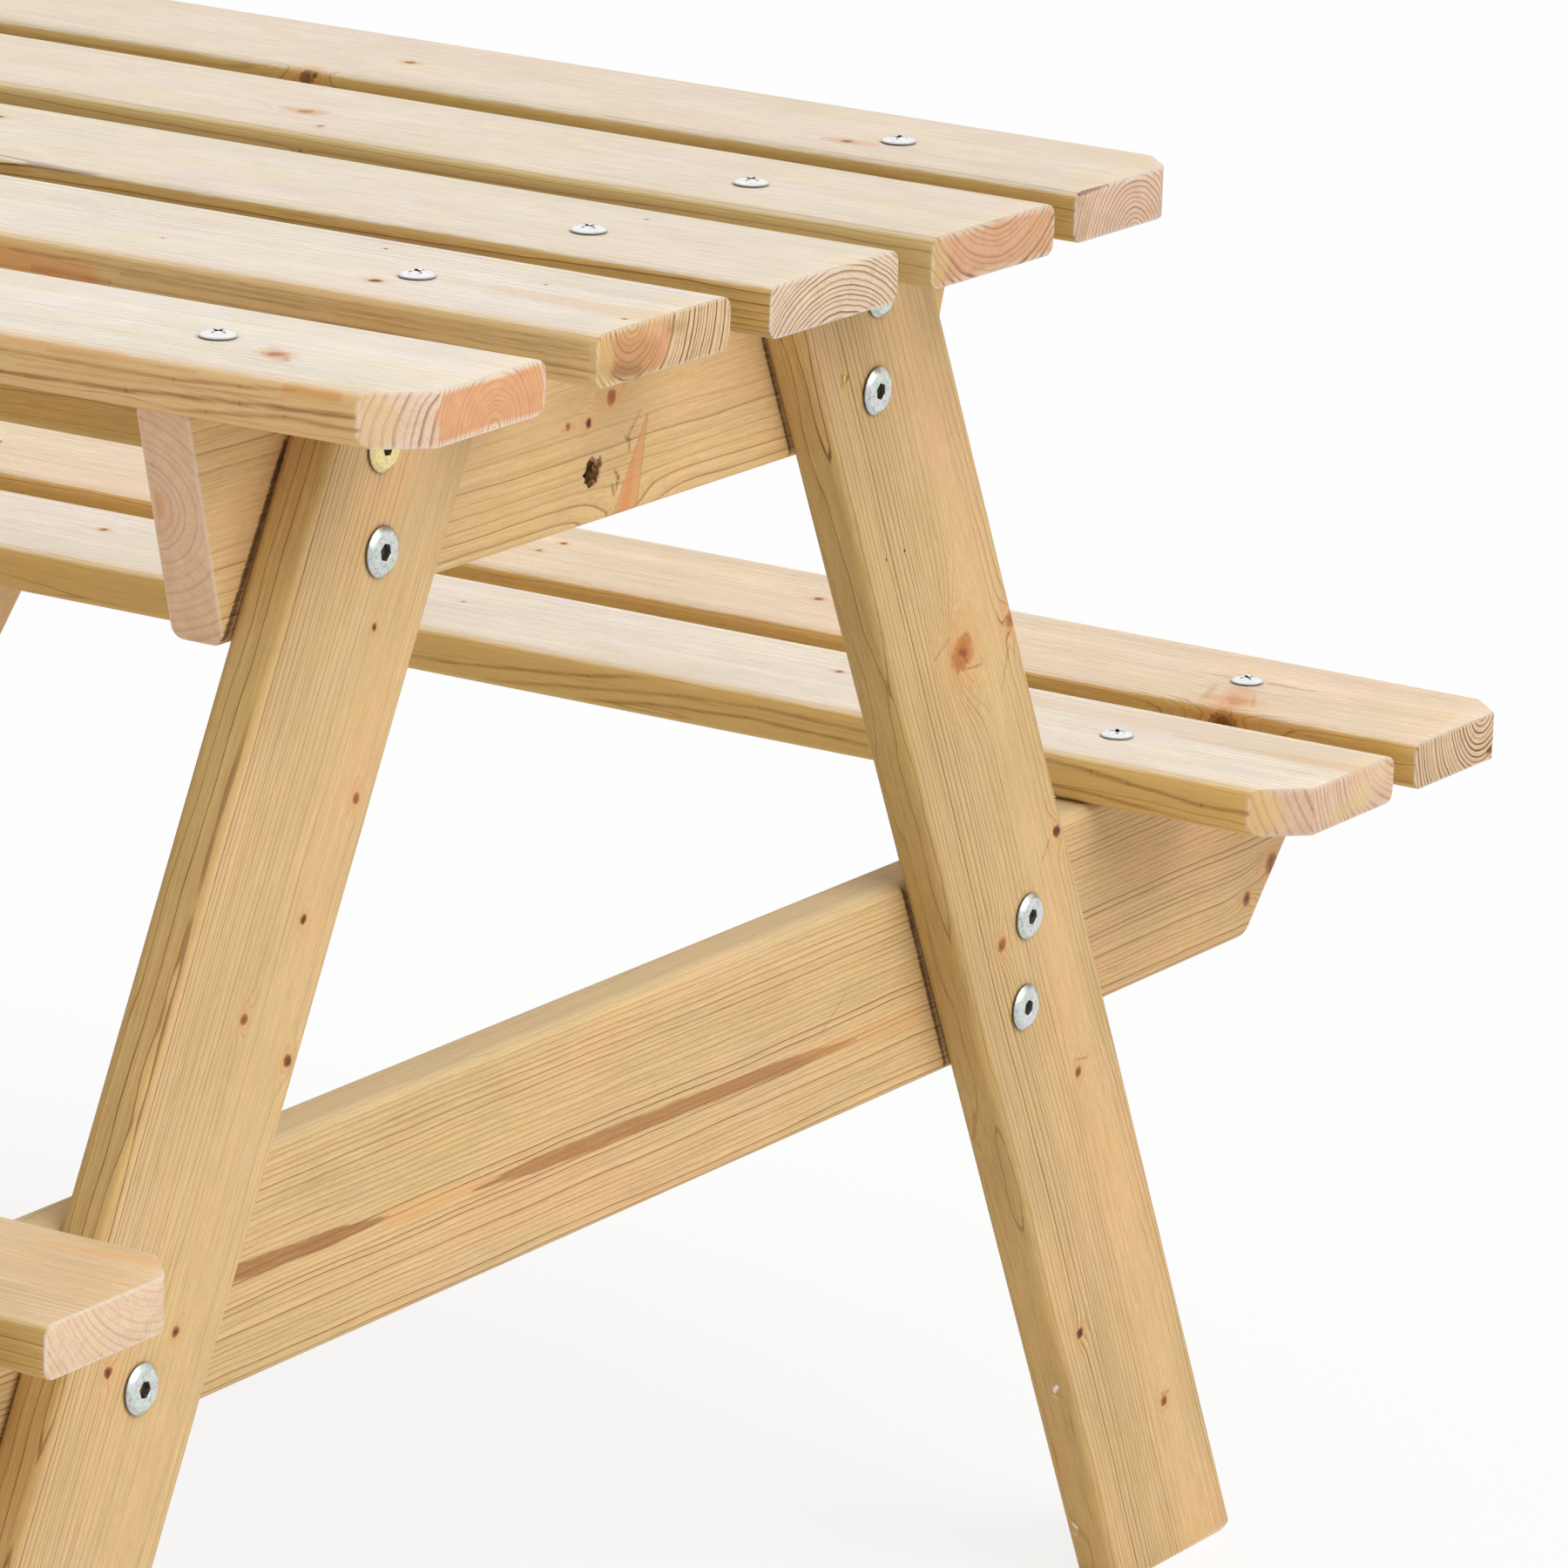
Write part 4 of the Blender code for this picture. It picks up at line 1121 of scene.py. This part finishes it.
def set_heads(name, spots, material, nodes, **sizes):
    """A plain mesh of heads made by the tree. spots are (middle of the seat, outward direction)."""
    given = {**sizes, "material": material}
    mesh = bpy.data.meshes.new(name + "_points")
    mesh.from_pydata([spot for spot, _ in spots], [], [])
    facing = mesh.attributes.new("facing", "FLOAT_VECTOR", "POINT")
    for item, (_, outward) in zip(facing.data, spots):
        item.vector = outward
    points = new_object(name + "_points", mesh)
    modifier = points.modifiers.new("heads", "NODES")
    tree = bpy.data.node_groups.get("fastener") or head_tree()
    modifier.node_group = tree
    for item in tree.interface.items_tree:
        if item.in_out == "INPUT" and item.name != "Geometry":
            modifier[item.identifier] = given.get(item.name.replace(" ", "_").lower(), 0.0)
    finished = bpy.data.meshes.new_from_object(points.evaluated_get(bpy.context.evaluated_depsgraph_get()))
    bpy.data.objects.remove(points)
    bm = bmesh.new()
    bm.from_mesh(finished)
    bmesh.ops.recalc_face_normals(bm, faces=bm.faces[:])
    fill(finished, bm)
    finished.name = name
    finished.shade_smooth()
    finished.set_sharp_from_angle(angle=HEAD_CREASE)
    obj = new_object(name, finished)
    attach(obj, "root")
    if nodes:
        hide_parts(*nodes)


def plated_material(name, color, tints, tint_share, dull):
    """Plated steel: cloudy, with a faint many-coloured bloom, darkened towards brown on the rows that the heads
    store: painted shade in the socket and under the rim, and a painted reflection of the wood on the shoulder.
    """
    material, tree = new_material(name)
    shader = tree.nodes["Principled BSDF"]
    place = add("ShaderNodeTexCoord", (), "Object", tree)
    cloud = noise(place, scale=900.0, detail=4.0, roughness=0.7)
    bloom = noise(place, scale=420.0, detail=2.0, color=True)
    red, green, blue = bloom.parts()
    tinted = blend(red.step(0.42, 0.60), tints[0], tints[1])
    tinted = blend(green.step(0.48, 0.62), tinted, tints[2])
    shade = blend(blue.step(0.35, 0.65) * tint_share, color, tinted)
    shade = blend(cloud.step(0.46, 0.66) * 0.50, shade, dull)
    # Painted shade and reflection: the stored rows pull the colour towards dark brown
    hollow = attribute(tree, "hollow")
    shade = blend(hollow * 0.93, shade, srgb("3a3222"))
    feed(shader.inputs["Base Color"], shade)
    feed(shader.inputs["Roughness"], 0.20 + 0.22 * cloud + 0.15 * hollow)
    roughen(shader, cloud, strength=0.25, distance=0.00015)
    shader.inputs["Metallic"].default_value = 1.0
    return material


class PICNIC_OT_fasteners(bpy.types.Operator):
    """Makes the bolts with their sleeve nuts, and the screws"""
    bl_idname = "picnic.fasteners"
    bl_label = "Bolts and Screws"

    def execute(self, context):
        sizes = context.scene.fasteners
        zinc = plated_material("zinc", sizes.zinc, (srgb("ecc4ca"), srgb("bfe0cb"), srgb("c8d2ec")), 0.65,
                               srgb("878d86"))
        bright = plated_material("bright_zinc", srgb("fbfcfb"), (srgb("f2e2e6"), srgb("dfeee6"), srgb("e2e8f6")),
                                 0.4, srgb("d4d7d4"))
        yellow = plated_material("yellow_zinc", sizes.yellow, (srgb("f0d6a0"), srgb("efe08c"), srgb("efc9b4")),
                                 0.7, srgb("c2ad6e"))
        # Each kind of head sets how much painted reflection and painted shade darken its shoulder
        cap = dict(head_diameter=sizes.bolt_cap, head_height=0.0018, head_rim=0.0006, shoulder=0.0016,
                   straightness=0.8, shoulder_shade=0.14, socket_width=0.0046, socket_depth=0.0014,
                   socket_sides=6.0, shank_diameter=0.007, shank_length=0.0372)
        nut = {**cap, "shank_diameter": 0.009, "shank_length": 0.002}
        pan = dict(head_diameter=sizes.screw_head, head_height=0.0017, head_rim=0.0004, shoulder=0.0036,
                   straightness=0.9, shoulder_shade=0.02, socket_width=0.0038, socket_depth=0.0013,
                   socket_sides=4.0, socket_waist=0.55, shank_diameter=0.0044, shank_length=0.040,
                   point_length=0.005)
        bolts, nuts, top_screws, rail_screws = {}, {}, {}, {}
        for node in sorted(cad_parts):
            low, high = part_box(node)
            middle = (low + high) / 2
            outward = math.copysign(1.0, middle.x)
            if node.startswith("bolt_"):
                outer, inner = (high.x, low.x) if outward > 0 else (low.x, high.x)
                bolts[node] = ((outer - outward * cap["head_height"], middle.y, middle.z), (outward, 0, 0))
                nuts[node] = ((inner + outward * cap["head_height"], middle.y, middle.z), (-outward, 0, 0))
            elif node.startswith("rail_screw"):
                end = high.x if outward > 0 else low.x
                rail_screws[node] = ((end - outward * pan["head_height"], middle.y, middle.z), (outward, 0, 0))
            elif "_screw_" in node:
                top_screws[node] = ((middle.x, middle.y, high.z - pan["head_height"]), (0, 0, 1))
        golden = {YELLOW_BOLT: bolts.pop(YELLOW_BOLT)}
        set_heads("bolts", bolts.values(), zinc, bolts, **cap)
        set_heads("yellow_bolt", golden.values(), yellow, golden, **cap)
        set_heads("sleeve_nuts", nuts.values(), yellow, (), **nut)
        set_heads("plank_screws", top_screws.values(), bright, top_screws, **pan)
        set_heads("rail_screws", rail_screws.values(), zinc, rail_screws, **pan)
        return {"FINISHED"}


# Stage


FLOOR_GLOW = 0.80  # Share of even white in what the camera sees of the floor


def seen_rays(tree):
    """1 for what the camera sees straight, in a mirror or through glass, and 0 for what lights the scene."""
    path = add("ShaderNodeLightPath", tree=tree).socket.node.outputs
    rays = [Flow(path[f"Is {kind} Ray"]) for kind in ("Camera", "Glossy", "Transmission")]
    return calc("MAXIMUM", calc("MAXIMUM", rays[0], rays[1]), rays[2])


class PICNIC_OT_stage(bpy.types.Operator):
    """Makes the floor, the light and the camera"""
    bl_idname = "picnic.stage"
    bl_label = "Stage"

    def execute(self, context):
        stage = context.scene.stage
        bm = bmesh.new()
        bmesh.ops.create_grid(bm, x_segments=1, y_segments=1, size=stage.floor_size / 2)
        floor = new_object("floor", fill(bpy.data.meshes.new("floor"), bm))

        # The floor shows white to the camera and in reflections, and keeps a part of the shadow
        material, tree = new_material("floor")
        tree.nodes.clear()
        lit = add("ShaderNodeBsdfDiffuse", {"Color": stage.floor_color}, tree=tree)
        glow = add("ShaderNodeEmission", tree=tree)
        mixed = add("ShaderNodeMixShader", (seen_rays(tree) * FLOOR_GLOW, lit, glow))
        feed(tree.nodes.new("ShaderNodeOutputMaterial").inputs["Surface"], mixed)
        floor.data.materials.append(material)

        world = bpy.data.worlds.new("studio")
        world.use_nodes = True
        context.scene.world = world
        tree = world.node_tree
        sky = tree.nodes["Background"]
        sky.inputs["Color"].default_value = (1.0, 1.0, 1.0, 1.0)
        feed(sky.inputs["Strength"], stage.sky + (1.0 - stage.sky) * seen_rays(tree))

        light = bpy.data.lights.new("key", "SUN")
        light.energy = stage.key
        light.angle = math.radians(50)
        key = new_object("key", light)
        key.rotation_euler = Vector((0.72, -0.04, 0.69)).to_track_quat("Z", "Y").to_euler()

        view = bpy.data.cameras.new("camera")
        view.lens = stage.camera_lens
        view.sensor_width = 36.0
        view.clip_start = 0.1
        view.clip_end = 200.0
        camera = new_object("camera", view)
        azimuth, elevation = stage.camera_azimuth, stage.camera_elevation
        back = Vector((math.sin(azimuth) * math.cos(elevation), -math.cos(azimuth) * math.cos(elevation),
                       math.sin(elevation)))
        turn = back.to_track_quat("Z", "Y").to_matrix().to_4x4()
        camera.matrix_world = (Matrix.Translation(stage.camera_place) @ turn
                               @ Matrix.Rotation(stage.camera_roll, 4, "Z"))
        context.scene.camera = camera
        context.scene.view_settings.view_transform = "Standard"
        return {"FINISHED"}


class PICNIC_PT_panel(bpy.types.Panel):
    """Lists the steps"""
    bl_label = "Kids Picnic Table"
    bl_idname = "PICNIC_PT_panel"
    bl_space_type = "VIEW_3D"
    bl_region_type = "UI"
    bl_category = "Picnic Table"

    def draw(self, context):
        for step in STEPS:
            self.layout.operator(step.bl_idname)


SETTINGS = {"timber": TimberSettings, "fasteners": FastenerSettings, "stage": StageSettings}
STEPS = (PICNIC_OT_tabletop, PICNIC_OT_benches, PICNIC_OT_legs, PICNIC_OT_cross_members, PICNIC_OT_fasteners,
         PICNIC_OT_stage)


def register():
    for name, settings in SETTINGS.items():
        bpy.utils.register_class(settings)
        setattr(bpy.types.Scene, name, bpy.props.PointerProperty(type=settings))
    for step in STEPS:
        bpy.utils.register_class(step)
    bpy.utils.register_class(PICNIC_PT_panel)


def unregister():
    bpy.utils.unregister_class(PICNIC_PT_panel)
    for step in reversed(STEPS):
        bpy.utils.unregister_class(step)
    for name, settings in SETTINGS.items():
        delattr(bpy.types.Scene, name)
        bpy.utils.unregister_class(settings)


def main():
    register()
    for step in STEPS:
        group, name = step.bl_idname.split(".")
        getattr(getattr(bpy.ops, group), name)()


if __name__ == "__main__":
    main()
